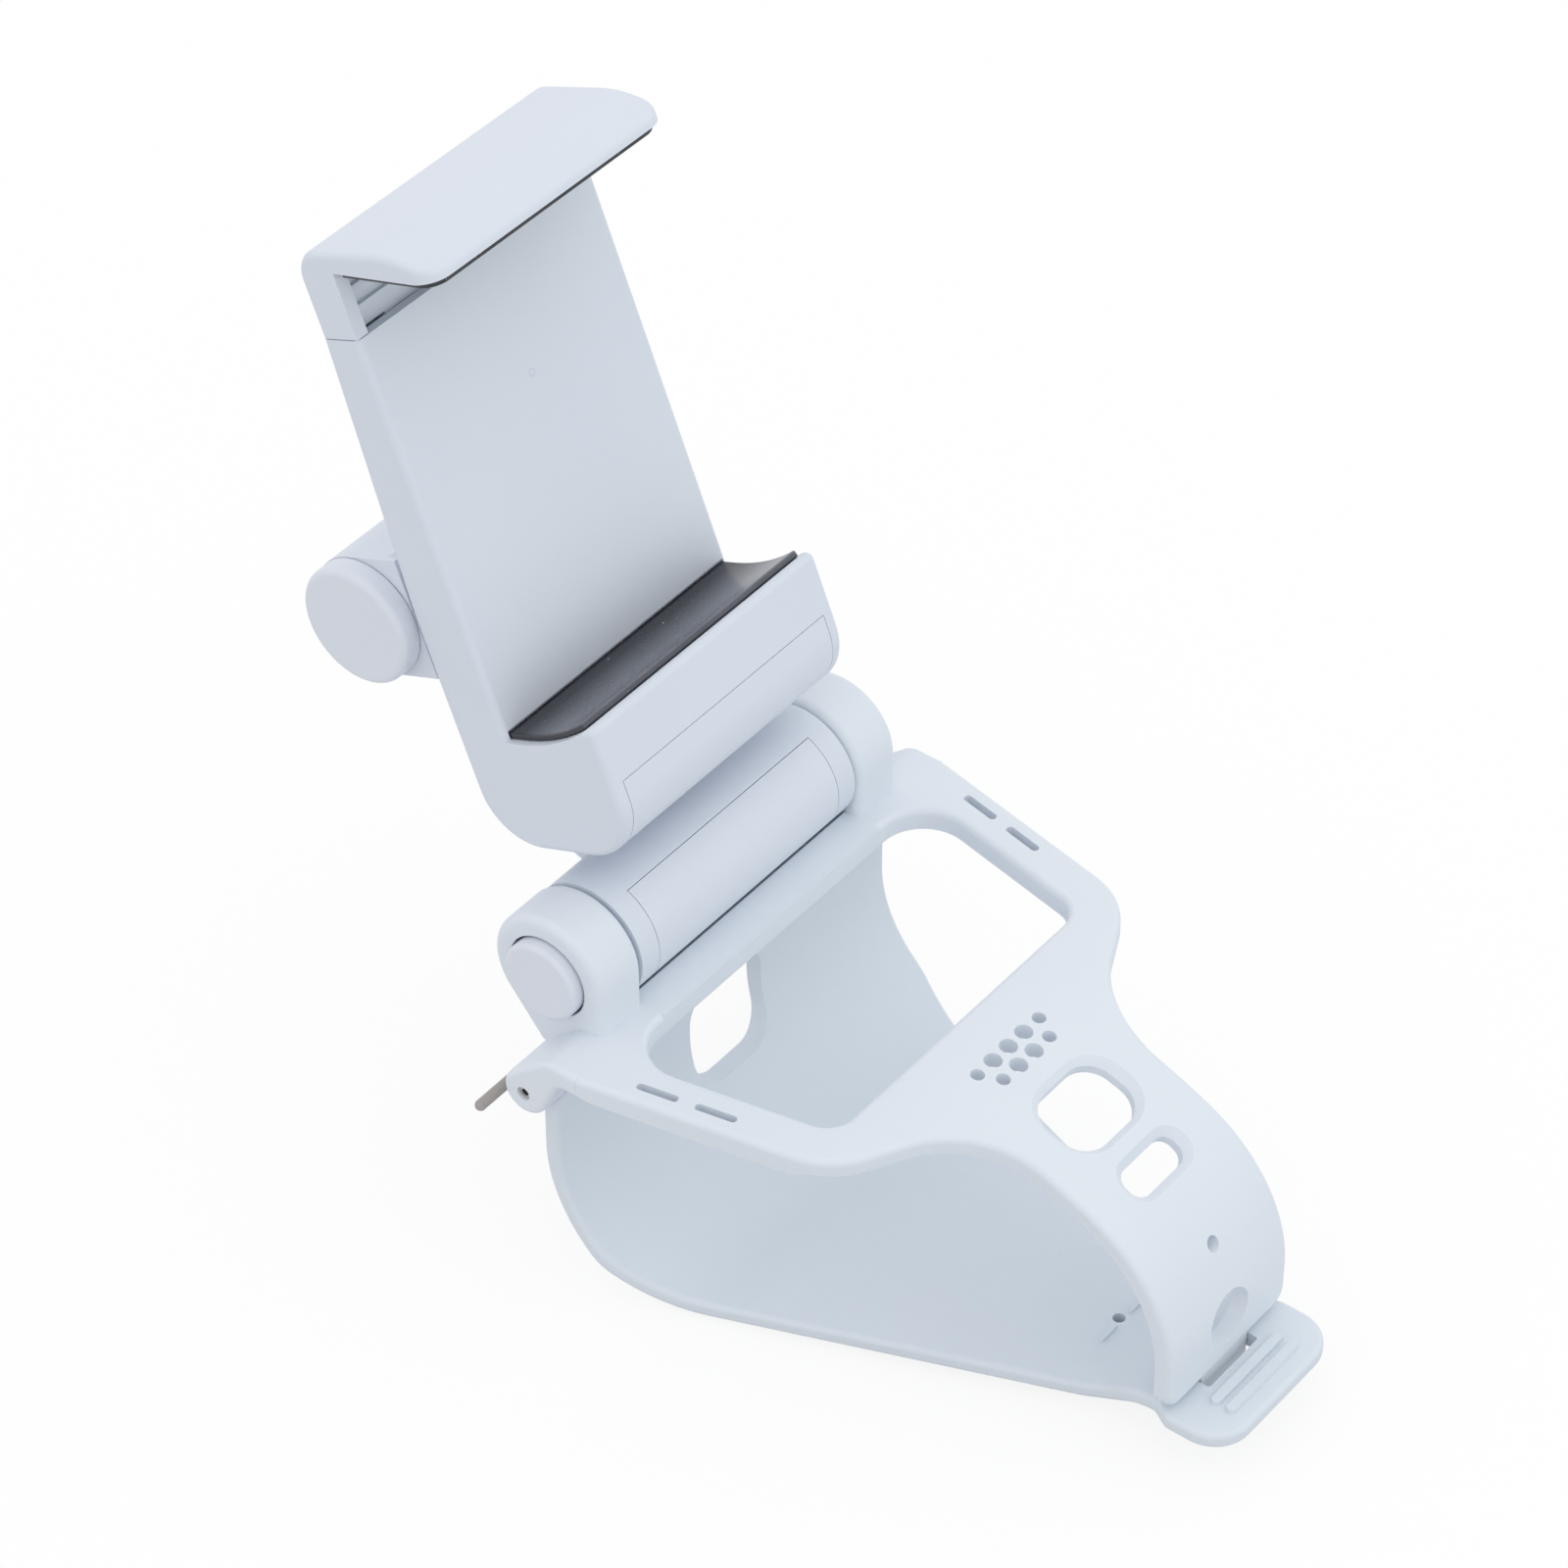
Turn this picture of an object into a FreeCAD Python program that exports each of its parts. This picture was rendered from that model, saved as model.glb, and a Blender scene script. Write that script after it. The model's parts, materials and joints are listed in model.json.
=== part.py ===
import FreeCAD, Part
import math
import os

from FreeCAD import Placement, Rotation, Vector

# Phone clip for a game controller. A face frame lies on the controller's top, a hinged
# cradle closes round it from below, and an arm between two ears carries a sprung phone
# clamp. X runs to the right, Y to the back, Z up. The origin is on the middle plane, on
# the frame's top face, level with the middle of the light slots.

os.makedirs("parts", exist_ok=True)
doc = FreeCAD.newDocument("ControllerPhoneClip")

# Driving dimensions, in millimetres and degrees.
SIZES = {
    # Face frame
    "rail_height": 3.2,
    "rail_width": 6.6,
    "rail_middle_half": 35.7,
    "rail_flare": 11.3,
    "strap_wall": 2.4,
    "strap_width": 25.8,
    "strap_corner": 2.5,
    "crossbar_front": 12.0,
    "window_front": -17.6,
    "window_front_corner": 4.0,
    "window_rear_corner": 6.5,
    "shoulder_y": -21.2,
    "shoulder_slope": 25.5,
    "shoulder_corner": 11.0,
    "waist_corner": 16.0,
    "brow_start": -18.0,
    "brow_radius": 68.0,
    "brow_turn": 26.0,
    "nose_radius": 22.7,
    "nose_end": -33.7,
    "edge_round": 0.9,
    # Openings of the face frame
    "light_slot_length": 5.8,
    "light_slot_width": 1.15,
    "light_slot_pitch": 8.0,
    "light_slot_inset": 2.7,
    "sound_hole": 2.45,
    "sound_hole_end": 1.9,
    "sound_pitch": 3.26,
    "sound_row": -25.3,
    "sound_row_gap": 2.8,
    "home_width": 13.0,
    "home_depth": 10.0,
    "home_y": -37.8,
    "mute_width": 10.4,
    "mute_depth": 4.4,
    "mute_y": -48.2,
    "bevel_width": 1.2,
    "bevel_depth": 1.1,
    "mic_hole": 2.0,
    "mic_z": -15.7,
    "jack_hole": 8.2,
    "jack_z": -26.8,
    # Ears and arm barrel
    "barrel_y": 24.2,
    "barrel_z": 5.8,
    "barrel_radius": 8.5,
    "barrel_half": 22.0,
    "ear_radius": 8.8,
    "ear_inner": 22.4,
    "ear_outer": 30.6,
    "ear_edge": 1.2,
    "trough_gap": 0.4,
    "trough_wall": 1.8,
    "trough_end": 275.0,
    "ear_foot_y": 26.2,
    "ear_foot_z": -5.6,
    # Cradle hinge
    "pin_y": 22.1,
    "pin_z": -7.5,
    "pin_radius": 1.0,
    "pin_wall": 0.45,
    "pin_fit": 0.01,
    "running_fit": 0.06,
    "boss_radius": 3.3,
    "boss_outer": 38.4,
    "boss_edge": 0.8,
    "knuckle_radius": 2.7,
    "knuckle_inner": 23.0,
    "knuckle_outer": 30.3,
    "hinge_gap": 0.5,
    # Cradle shell
    "cradle_wall": 2.4,
    "cradle_back_y": 20.0,
    "cradle_back_top": -10.6,
    "cradle_back_half": 34.5,
    "cradle_back_corner": 3.0,
    "cradle_bend": 19.5,
    "cradle_floor": -39.0,
    "floor_rise": 1.8,
    "step_y": -46.0,
    "step_radius": 12.0,
    "step_slope": 29.7,
    "lip_front": -69.2,
    "lip_half": 12.9,
    "lip_corner": 5.5,
    "cradle_neck_half": 11.4,
    "cradle_neck_y": -50.0,
    "cable_window_width": 15.0,
    "cable_window_bottom": -29.0,
    "cable_window_top": -13.5,
    "cable_window_corner": 4.5,
    "grip_rib_length": 15.0,
    "grip_rib_height": 0.6,
    "grip_rib_width": 1.3,
    "grip_rib_pitch": 2.3,
    "grip_rib_y": -63.7,
    "drain_hole": 1.7,
    "drain_y": -44.0,
    "shell_round": 0.8,
    # Latch between strap and cradle lip
    "latch_width": 10.0,
    "latch_wall": 1.2,
    "latch_end": -37.6,
    "latch_set": 0.4,
    "latch_hook": 0.4,
    "latch_gap": 0.4,
    "latch_slot_front": -61.65,
    "latch_slot_back": -58.4,
    # Stop bumper behind the cradle
    "bumper_radius": 0.8,
    "bumper_half": 41.5,
    "bumper_y": 27.3,
    "bumper_z": -10.8,
    "shelf_top": -11.0,
    "shelf_wall": 1.6,
    # Push button lock
    "button_radius": 5.7,
    "button_bore": 6.05,
    "button_proud": 1.8,
    "shoulder_wall": 2.3,
    "socket_radius": 7.25,
    "collar_length": 1.6,
    "tooth_height": 0.7,
    "tooth_gap": 0.2,
    "tooth_count": 24,
    "ring_radius": 7.05,
    "ring_flange": 1.0,
    "hub_radius": 4.9,
    "hub_length": 6.7,
    "hub_fit": 0.05,
    "hub_socket": 8.0,
    "spring_bore": 3.6,
    "stem_radius": 2.0,
    "ring_web": 2.3,
    "spring_wire": 0.6,
    "spring_radius": 2.9,
    "spring_turns": 3.5,
    # Pivot of the other ear
    "spindle_radius": 4.0,
    "spindle_head": 6.4,
    "spindle_head_wall": 1.6,
    "spindle_end": 10.0,
    # Arm
    "arm_angle": 45.0,
    "arm_length": 49.6,
    "arm_half_depth": 4.3,
    "arm_half": 8.9,
    "eye_radius": 7.4,
    "arm_cover_half": 7.0,
    "arm_cover_start": 288.0,
    "arm_cover_turn": 52.0,
    "cover_wall": 1.3,
    "cover_fit": 0.1,
    "barrel_cover_half": 18.5,
    "barrel_cover_top": 114.0,
    "barrel_cover_turn": 108.0,
    "barrel_chamber": 6.0,
    # Clamp
    "clamp_lean": 22.0,
    "clamp_half": 22.3,
    "clamp_front": -17.8,
    "clamp_back": -8.9,
    "clamp_back_top": -11.5,
    "clamp_wall": 1.8,
    "clamp_seam": 40.2,
    "clamp_edge": 1.0,
    "ledge_floor": -16.5,
    "ledge_flat_end": -19.7,
    "ledge_curve": 28.0,
    "ledge_curve_turn": 28.0,
    "ledge_front": -34.0,
    "ledge_lip": -13.2,
    "clamp_bottom": -32.5,
    "bottom_front_round": 8.5,
    "bottom_back_round": 8.0,
    "lid_half": 20.4,
    "lid_bottom": -22.0,
    "ledge_cover_half": 20.2,
    "ledge_cover_top": -21.6,
    "ledge_cover_back": -21.0,
    "pad_wall": 1.0,
    "pad_half": 21.4,
    "pad_back": -17.5,
    "pad_groove": 0.5,
    "knuckle_plate_inner": 9.5,
    "knuckle_plate_outer": 21.6,
    "knuckle_plate_radius": 8.5,
    "knuckle_flare": 3.9,
    "cap_radius": 8.4,
    "cap_wall": 3.0,
    "cap_edge": 1.0,
    "seat_radius": 5.2,
    "seat_depth": 4.1,
    "plug_fit": 0.08,
    "plug_wall": 0.9,
    "plug_depth": 3.2,
    "bolt_radius": 2.0,
    "bolt_head": 3.6,
    "bolt_head_length": 2.4,
    "nut_flats": 7.0,
    "washer_radius": 6.5,
    "washer_wall": 0.5,
    # Sliding jaw
    "jaw_gap": 0.15,
    "jaw_top": 52.2,
    "jaw_plate": 4.0,
    "jaw_front": -34.4,
    "jaw_corner": 3.4,
    "jaw_brow": -29.4,
    "jaw_brow_round": 18.0,
    "jaw_nose_drop": 2.9,
    "jaw_under_rise": 1.2,
    "jaw_back_round": 4.0,
    "jaw_recess": 2.2,
    "jaw_recess_half": 20.3,
    "jaw_travel": 26.0,
    "rail_inner": 8.0,
    "rail_outer": 15.0,
    "rail_front": -15.6,
    "rail_thick": 2.0,
    "rail_end": -2.0,
    "rail_bar": 3.5,
    "rail_play": 0.15,
    "guide_wall": 1.2,
    # Jaw springs
    "jaw_spring_radius": 1.6,
    "jaw_spring_bore": 1.0,
    "jaw_spring_x": 11.5,
    "jaw_spring_y": -14.2,
    "jaw_spring_low": -16.8,
    "jaw_spring_high": -0.4,
    "spring_eye": 1.3,
    "spring_eye_bore": 0.8,
    "spring_peg": 0.7,
    # Screws
    "screw_radius": 0.9,
    "screw_head": 1.7,
    "screw_sink": 0.7,
    "screw_head_wall": 0.6,
    "screw_length": 4.6,
    "screw_fit": 0.05,
    "recess_reach": 0.9,
    "recess_slot": 0.5,
    "recess_depth": 0.35,
    "screw_x": 18.3,
    "screw_low": -12.0,
    "screw_high": 35.0,
    "screw_post": 1.85,
}

sheet = doc.addObject("Spreadsheet::Sheet", "Sizes")
for row, (alias, amount) in enumerate(SIZES.items(), start=1):
    sheet.set(f"A{row}", alias)
    sheet.set(f"B{row}", str(amount))
    sheet.setAlias(f"B{row}", alias)
doc.recompute()


def size(alias):
    """The sheet's number for one driving dimension."""
    return float(sheet.get(alias))


# Points and outlines


def turn(point, angle, radius):
    """The point at a distance and an angle in degrees from another."""
    bearing = math.radians(angle)
    return (point[0] + radius * math.cos(bearing), point[1] + radius * math.sin(bearing))


def touch_angle(point, centre, radius, side):
    """Where a straight side from a point touches a circle, as an angle on the circle."""
    away = math.hypot(point[0] - centre[0], point[1] - centre[1])
    bearing = math.atan2(point[1] - centre[1], point[0] - centre[0])
    return math.degrees(bearing + side * math.acos(radius / away))


def vec(point):
    """A sketch point as a vector."""
    return Vector(point[0], point[1], 0)


def line(start, end):
    """A straight side of an outline."""
    return Part.LineSegment(vec(start), vec(end))


def arc(centre, radius, start, end):
    """An arc of an outline from one angle to another."""
    middle = (start + end) / 2
    return Part.Arc(*[vec(turn(centre, angle, radius)) for angle in (start, middle, end)])


def circle(centre, radius):
    """A full circle in an outline."""
    return [Part.Circle(vec(centre), Vector(0, 0, 1), radius)]


def loop(*corners):
    """A closed outline through corners (u, v) or (u, v, radius)."""
    points = [vec(corner) for corner in corners]
    arcs = []
    entries = []
    exits = []
    for index, point in enumerate(points):
        radius = corners[index][2] if len(corners[index]) > 2 else 0.0
        back = (points[index - 1] - point).normalize()
        ahead = (points[(index + 1) % len(points)] - point).normalize()
        half = back.getAngle(ahead) / 2
        reach = radius / math.tan(half)
        entries.append(point + back * reach)
        exits.append(point + ahead * reach)
        if radius > 0:
            middle = (back + ahead).normalize()
            crown = point + middle * (radius / math.sin(half) - radius)
            arcs.append(Part.Arc(entries[-1], crown, exits[-1]))
    sides = []
    for index, start in enumerate(exits):
        end = entries[(index + 1) % len(points)]
        if start.distanceToPoint(end) > 1e-6:
            sides.append(Part.LineSegment(start, end))
    return sides + arcs


def box(left, right, low, high, radius=0.0):
    """A rectangle with rounded corners."""
    return loop(
        (left, low, radius), (right, low, radius), (right, high, radius), (left, high, radius)
    )


def both_sides(right):
    """A closed outline from its right half."""
    left = [(-corner[0],) + tuple(corner[1:]) for corner in reversed(right)]
    return loop(*right, *left)


def sector(centre, inner, outer, start, end):
    """A curved bar between two radii and two angles."""
    return [
        arc(centre, inner, start, end),
        line(turn(centre, end, inner), turn(centre, end, outer)),
        arc(centre, outer, start, end),
        line(turn(centre, start, inner), turn(centre, start, outer)),
    ]


def chain(points):
    """Straight sides through a row of points, left open."""
    return [line(start, end) for start, end in zip(points, points[1:])]


# Features of a body


def body(label, place=None):
    """A new piece with its own name and place."""
    made = doc.addObject("PartDesign::Body", label)
    made.Label = label
    if place is not None:
        made.Placement = place
    return made


def plane(owner, role):
    """One of the body's own origin planes."""
    return [item for item in owner.Origin.OriginFeatures if item.Role == role][0]


def sketch(owner, role, outline, offset, place):
    """A sketch on an origin plane, moved along its normal by an expression."""
    drawn = owner.newObject("Sketcher::SketchObject", f"{owner.Label}_sketch")
    drawn.AttachmentSupport = [(plane(owner, role), "")]
    drawn.MapMode = "FlatFace"
    if place is not None:
        drawn.AttachmentOffset = place
    if offset:
        drawn.setExpression("AttachmentOffset.Base.z", offset)
    for piece in outline:
        drawn.addGeometry(piece, False)
    return drawn


def pad(owner, role, outline, length, offset="", side="One side", place=None, back=False):
    """Material grown from a sketch."""
    made = owner.newObject("PartDesign::Pad", f"{owner.Label}_pad")
    made.Profile = sketch(owner, role, outline, offset, place)
    made.SideType = side
    made.Reversed = back
    made.setExpression("Length", length)
    doc.recompute()
    return made


def pocket(owner, role, outline, length="", offset="", side="One side", place=None, slant=0.0,
           back=False):
    """Material cut by a sketch, right through where no length is given."""
    before = owner.Shape.Volume
    made = owner.newObject("PartDesign::Pocket", f"{owner.Label}_pocket")
    made.Profile = sketch(owner, role, outline, offset, place)
    made.SideType = side
    made.Reversed = back
    if length:
        made.setExpression("Length", length)
    else:
        made.Type = "ThroughAll"
    made.TaperAngle = slant
    doc.recompute()
    if owner.Shape.Volume > before - 1e-6:
        raise ValueError(f"{made.Name} cuts nothing")
    return made


def grow(owner, outline, low, high):
    """A side-view outline grown across X from one place to another."""
    return pad(owner, "YZ_Plane", outline, f"{high} - ({low})", offset=low)


def cut(owner, outline, low, high):
    """A side-view outline cut across X from one place to another."""
    return pocket(owner, "YZ_Plane", outline, f"{high} - ({low})", offset=high)


def mirror(owner, *features):
    """The same features on the other side of the middle plane."""
    made = owner.newObject("PartDesign::Mirrored", f"{owner.Label}_mirror")
    made.Originals = list(features)
    made.MirrorPlane = (plane(owner, "YZ_Plane"), [""])
    owner.Tip = made
    doc.recompute()
    return made


def soften(owner, wanted, radius):
    """Round the edges for which wanted(edge) is true."""
    last = owner.Tip
    names = [f"Edge{i}" for i, edge in enumerate(last.Shape.Edges, start=1) if wanted(edge)]
    made = owner.newObject("PartDesign::Fillet", f"{owner.Label}_fillet")
    made.Base = (last, names)
    made.setExpression("Radius", radius)
    doc.recompute()
    return made


# Shared places

ORIGIN = (0.0, 0.0)
barrel = (size("barrel_y"), size("barrel_z"))
pin = (size("pin_y"), size("pin_z"))
arm_reach = turn(ORIGIN, size("arm_angle"), size("arm_length"))
arm_tip = (barrel[0] + arm_reach[0], barrel[1] + arm_reach[1])
barrel_place = Placement(Vector(0, *barrel), Rotation())
pin_place = Placement(Vector(0, *pin), Rotation())
clamp_place = Placement(Vector(0, *arm_tip), Rotation(Vector(1, 0, 0), -size("clamp_lean")))
deck_rear = barrel[0] - size("ear_radius") + 1.0
flare = math.tan(math.radians(size("rail_flare")))


def rail_half(y):
    """Half the face frame's width at a place along its length."""
    return size("rail_middle_half") + flare * y


# The strap's curve over the controller: a shallow brow, then the tight nose.
brow_centre = (size("brow_start"), -size("brow_radius"))
brow_end_angle = 90 + size("brow_turn")
nose_centre = turn(brow_centre, brow_end_angle, size("brow_radius") - size("nose_radius"))
strap_front = nose_centre[0] - size("nose_radius")


def strap_skin(depth):
    """The strap's side view at a depth below its outer face, from deck to end."""
    brow = size("brow_radius") - depth
    nose = size("nose_radius") - depth
    return [
        arc(brow_centre, brow, 90, brow_end_angle),
        arc(nose_centre, nose, brow_end_angle, 180),
        line(turn(nose_centre, 180, nose), (strap_front + depth, size("nose_end"))),
    ]


def strap_place(y):
    """A place on the strap's outer face on the middle plane, turned to face outwards."""
    centre = nose_centre
    radius = size("nose_radius")
    if y > turn(brow_centre, brow_end_angle, size("brow_radius"))[0]:
        centre = brow_centre
        radius = size("brow_radius")
    lean = math.degrees(math.asin((centre[0] - y) / radius))
    point = turn(centre, 90 + lean, radius)
    return Placement(Vector(0, *point), Rotation(Vector(1, 0, 0), lean))


def on_outer(point):
    """True where a point lies on the face frame's outer face."""
    if point.y >= brow_centre[0] - 1e-3:
        return abs(point.z) < 1e-3
    brow = math.hypot(point.y - brow_centre[0], point.z - brow_centre[1])
    nose = math.hypot(point.y - nose_centre[0], point.z - nose_centre[1])
    if abs(brow - size("brow_radius")) < 1e-3 or abs(nose - size("nose_radius")) < 1e-3:
        return True
    return abs(point.y - strap_front) < 1e-3


def outer_rim(edge):
    """True for the rims of the deck and the strap that face the player."""
    ends = [vertex.Point for vertex in edge.Vertexes]
    inside = edge.BoundBox.YMax < deck_rear - 0.1 or edge.BoundBox.XLength < 0.1
    return inside and all(on_outer(point) for point in ends)


def make_frame():
    """Face frame with strap, ears, saddle and hinge bosses, moulded in one."""
    frame = body("controller_frame")
    wall = size("strap_wall")
    height = size("rail_height")
    start = size("brow_start")
    end = size("nose_end")
    half = size("strap_width") / 2
    band = strap_skin(0) + strap_skin(wall) + chain([
        (start, -wall), (start + 2, -height), (deck_rear, -height), (deck_rear, 0), (start, 0)
    ]) + [line((strap_front, end), (strap_front + wall, end))]
    pad(frame, "YZ_Plane", band, "Sizes.boss_outer * 2 + 2", side="Symmetric")

    shoulder = rail_half(size("shoulder_y"))
    waist = (shoulder - half) * math.tan(math.radians(size("shoulder_slope")))
    straight = (size("boss_outer") - size("rail_middle_half")) / flare
    outline = both_sides([
        (size("boss_outer"), deck_rear + 5),
        (size("boss_outer"), straight, 12.0),
        (shoulder, size("shoulder_y"), size("shoulder_corner")),
        (half, size("shoulder_y") - waist, size("waist_corner")),
        (half, strap_front - 5),
    ])
    around = box(-60, 60, strap_front - 10, deck_rear + 10)
    pocket(frame, "XY_Plane", around + outline, side="Symmetric")

    rear = size("crossbar_front")
    front = size("window_front")
    window = both_sides([
        (rail_half(rear) - size("rail_width"), rear, size("window_rear_corner")),
        (rail_half(front) - size("rail_width"), front, size("window_front_corner")),
    ])
    pocket(frame, "XY_Plane", window, side="Symmetric")
    soften(frame, strap_end_corner, "Sizes.strap_corner")
    soften(frame, outer_rim, "Sizes.edge_round")
    add_ears(frame)
    add_openings(frame)
    add_latch(frame)
    return frame


def strap_end_corner(edge):
    """True for the two corners at the strap's lower end."""
    bounds = edge.BoundBox
    low = abs(bounds.ZMax - size("nose_end")) < 1e-3
    return low and bounds.XLength < 1e-3 and abs(abs(bounds.XMax) * 2 - size("strap_width")) < 1e-3


def add_ears(frame):
    """Two ears, the saddle under the barrel and the cradle's hinge bosses."""
    height = size("rail_height")
    inner = size("barrel_radius") + size("trough_gap")
    outer = inner + size("trough_wall")
    top = 180 + math.degrees(math.asin(barrel[1] / inner))
    under = 180 + math.degrees(math.asin((barrel[1] + height) / outer))
    end = size("trough_end")
    saddle = [
        arc(barrel, inner, top, end),
        arc(barrel, outer, under, end),
        line(turn(barrel, end, inner), turn(barrel, end, outer)),
    ] + chain([
        turn(barrel, top, inner), (size("crossbar_front"), 0),
        (size("crossbar_front"), -height), turn(barrel, under, outer),
    ])
    pad(frame, "YZ_Plane", saddle, "Sizes.ear_inner * 2", side="Symmetric")

    ear = size("ear_radius")
    foot = (size("ear_foot_y"), size("ear_foot_z"))
    lean = touch_angle(foot, barrel, ear, 1)
    ear_front = barrel[0] - ear
    profile = [arc(barrel, ear, 180, lean)] + chain([
        turn(barrel, lean, ear), foot, (ear_front + 3, foot[1]), (ear_front, -height),
        (ear_front, barrel[1]),
    ])
    mirror(frame, grow(frame, profile, "Sizes.ear_inner", "Sizes.ear_outer"))
    soften(frame, ear_rim, "Sizes.ear_edge")

    boss = size("boss_radius")
    crest = (size("crossbar_front") + 6.5, 0.0)
    heel = (deck_rear + 0.2, -height)
    hook = loop(
        (size("crossbar_front") + 1.6, -height), (size("crossbar_front") + 1.6, 0),
        (crest[0], 0, 3.0), turn(pin, touch_angle(crest, pin, boss, -1), boss), pin,
        turn(pin, touch_angle(heel, pin, boss, 1), boss), (heel[0], heel[1], 2.0),
    )
    hooks = grow(frame, hook, "Sizes.ear_outer", "Sizes.boss_outer")
    bosses = grow(frame, circle(pin, boss), "Sizes.ear_outer", "Sizes.boss_outer")
    mirror(frame, hooks, bosses)
    soften(frame, hook_rim, "Sizes.boss_edge")
    bore = circle(pin, size("pin_radius") + size("pin_fit"))
    relief = circle(pin, size("knuckle_radius") + size("hinge_gap"))
    bores = cut(frame, bore, "Sizes.ear_outer - 1", "Sizes.boss_outer + 1")
    reliefs = cut(frame, relief, "Sizes.ear_inner", "Sizes.ear_outer")
    mirror(frame, bores, reliefs)

    # Right ear: seat of the spindle. Left ear: button bore, toothed shoulder and socket.
    cut(frame, circle(barrel, size("spindle_radius") + size("pin_fit")),
        "Sizes.ear_inner - 1", "Sizes.ear_outer + 1")
    cut(frame, circle(barrel, size("spindle_head") + 0.1),
        "Sizes.ear_outer - Sizes.spindle_head_wall - 0.1", "Sizes.ear_outer + 1")
    cut(frame, circle(barrel, size("button_bore")), "-Sizes.ear_outer - 1", "-Sizes.ear_inner + 1")
    cut(frame, circle(barrel, size("socket_radius")),
        "-Sizes.ear_outer + Sizes.shoulder_wall", "-Sizes.ear_inner + 1")
    grow(frame, crown(barrel, size("button_bore"), size("socket_radius") + 0.3, 0.0),
         "-Sizes.ear_outer + Sizes.shoulder_wall - 0.2",
         "-Sizes.ear_outer + Sizes.shoulder_wall + Sizes.tooth_height")


def hook_rim(edge):
    """True for the outer edges of the hooks that carry the bosses."""
    bounds = edge.BoundBox
    at_side = bounds.XLength < 1e-3 and abs(abs(bounds.XMax) - size("boss_outer")) < 1e-3
    return at_side and bounds.YMin > size("crossbar_front") + 3


def ear_rim(edge):
    """True for the outer rims of the ears round the barrel."""
    curve = edge.Curve
    if not isinstance(curve, Part.Circle) or abs(curve.Radius - size("ear_radius")) > 1e-3:
        return False
    return edge.BoundBox.XLength < 1e-3


def crown(centre, inner, outer, start):
    """Teeth of a ring lock, seen along its axis."""
    step = 360 / size("tooth_count")
    outline = []
    for tooth in range(int(size("tooth_count"))):
        first = start + tooth * step
        outline += sector(centre, inner, outer, first, first + step / 2)
    return outline


def add_openings(frame):
    """Light slots, sound holes, key openings and the holes in the nose."""
    reach = size("light_slot_length") / 2
    radius = size("light_slot_width") / 2
    for side in (-1, 1):
        for y in (-size("light_slot_pitch") / 2, size("light_slot_pitch") / 2):
            x = side * (rail_half(y) - size("light_slot_inset"))
            place = Placement(Vector(x, y, 0), Rotation(Vector(0, 0, 1), -side * size("rail_flare")))
            slot = box(-radius, radius, -reach, reach, radius - 0.05)
            pocket(frame, "XY_Plane", slot, side="Symmetric", place=place)
    holes = []
    for row, count in enumerate((5, 4)):
        for index in range(count):
            x = (index - (count - 1) / 2) * size("sound_pitch")
            y = size("sound_row") - row * size("sound_row_gap")
            kind = "sound_hole_end" if index in (0, count - 1) else "sound_hole"
            holes += circle((x, y), size(kind) / 2)
    pocket(frame, "XY_Plane", holes, side="Symmetric")

    slant = math.degrees(math.atan(size("bevel_width") / size("bevel_depth")))
    keys = (
        (size("home_y"), size("home_width"), size("home_depth"), 4.0),
        (size("mute_y"), size("mute_width"), size("mute_depth"), 1.9),
    )
    for y, width, depth, corner in keys:
        place = strap_place(y)
        rim = size("bevel_width")
        hole = box(-width / 2, width / 2, -depth / 2, depth / 2, corner)
        dish = box(-width / 2 - rim, width / 2 + rim, -depth / 2 - rim, depth / 2 + rim,
                   corner + rim)
        pocket(frame, "XY_Plane", dish, "Sizes.bevel_depth", place=place, slant=-slant)
        pocket(frame, "XY_Plane", hole, "Sizes.strap_wall * 2", place=place)

    for z, width in ((size("mic_z"), size("mic_hole")), (size("jack_z"), size("jack_hole"))):
        pocket(frame, "XZ_Plane", circle((0, z), width / 2), "-(Sizes.nose_end) * 3",
               back=True)


def add_latch(frame):
    """Latch tongue below the strap, with a small hook on its back."""
    top = size("nose_end")
    tip = size("latch_end")
    front = strap_front + size("latch_set")
    back = front + size("latch_wall")
    hook = back + size("latch_hook")
    tongue = chain([
        (front, top + 1), (back, top + 1), (back, tip + 0.6), (hook, tip + 0.2), (back, tip),
        (front, tip), (front, top + 1),
    ])
    pad(frame, "YZ_Plane", tongue, "Sizes.latch_width", side="Symmetric")


def make_pins():
    """Two slotted roll pins that hold the cradle."""
    made = []
    for label, side in (("cradle_pin_left", -1), ("cradle_pin_right", 1)):
        roll = body(label, pin_place)
        radius = size("pin_radius")
        tube = circle(ORIGIN, radius) + circle(ORIGIN, radius - size("pin_wall"))
        start = "Sizes.knuckle_inner + 0.4"
        length = "Sizes.boss_outer - Sizes.knuckle_inner - 0.8"
        if side > 0:
            pad(roll, "YZ_Plane", tube, length, offset=start)
        else:
            pad(roll, "YZ_Plane", tube, length, offset=f"-({start})", back=True)
        slit = size("pin_wall") / 2.6
        pocket(roll, "YZ_Plane", box(-slit, slit, 0, radius + 1), side="Symmetric")
        made.append(roll)
    return made


def make_spindle():
    """Headed spindle that carries the barrel in the right ear."""
    spindle = body("hinge_spindle", barrel_place)
    grow(spindle, circle(ORIGIN, size("spindle_head")),
         "Sizes.ear_outer - Sizes.spindle_head_wall - 0.1", "Sizes.ear_outer - 0.1")
    soften(spindle, lambda e: e.BoundBox.XMin > size("ear_outer") - 0.2, "0.4")
    grow(spindle, circle(ORIGIN, size("spindle_radius")), "Sizes.spindle_end",
         "Sizes.ear_outer - Sizes.spindle_head_wall")
    return spindle


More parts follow.
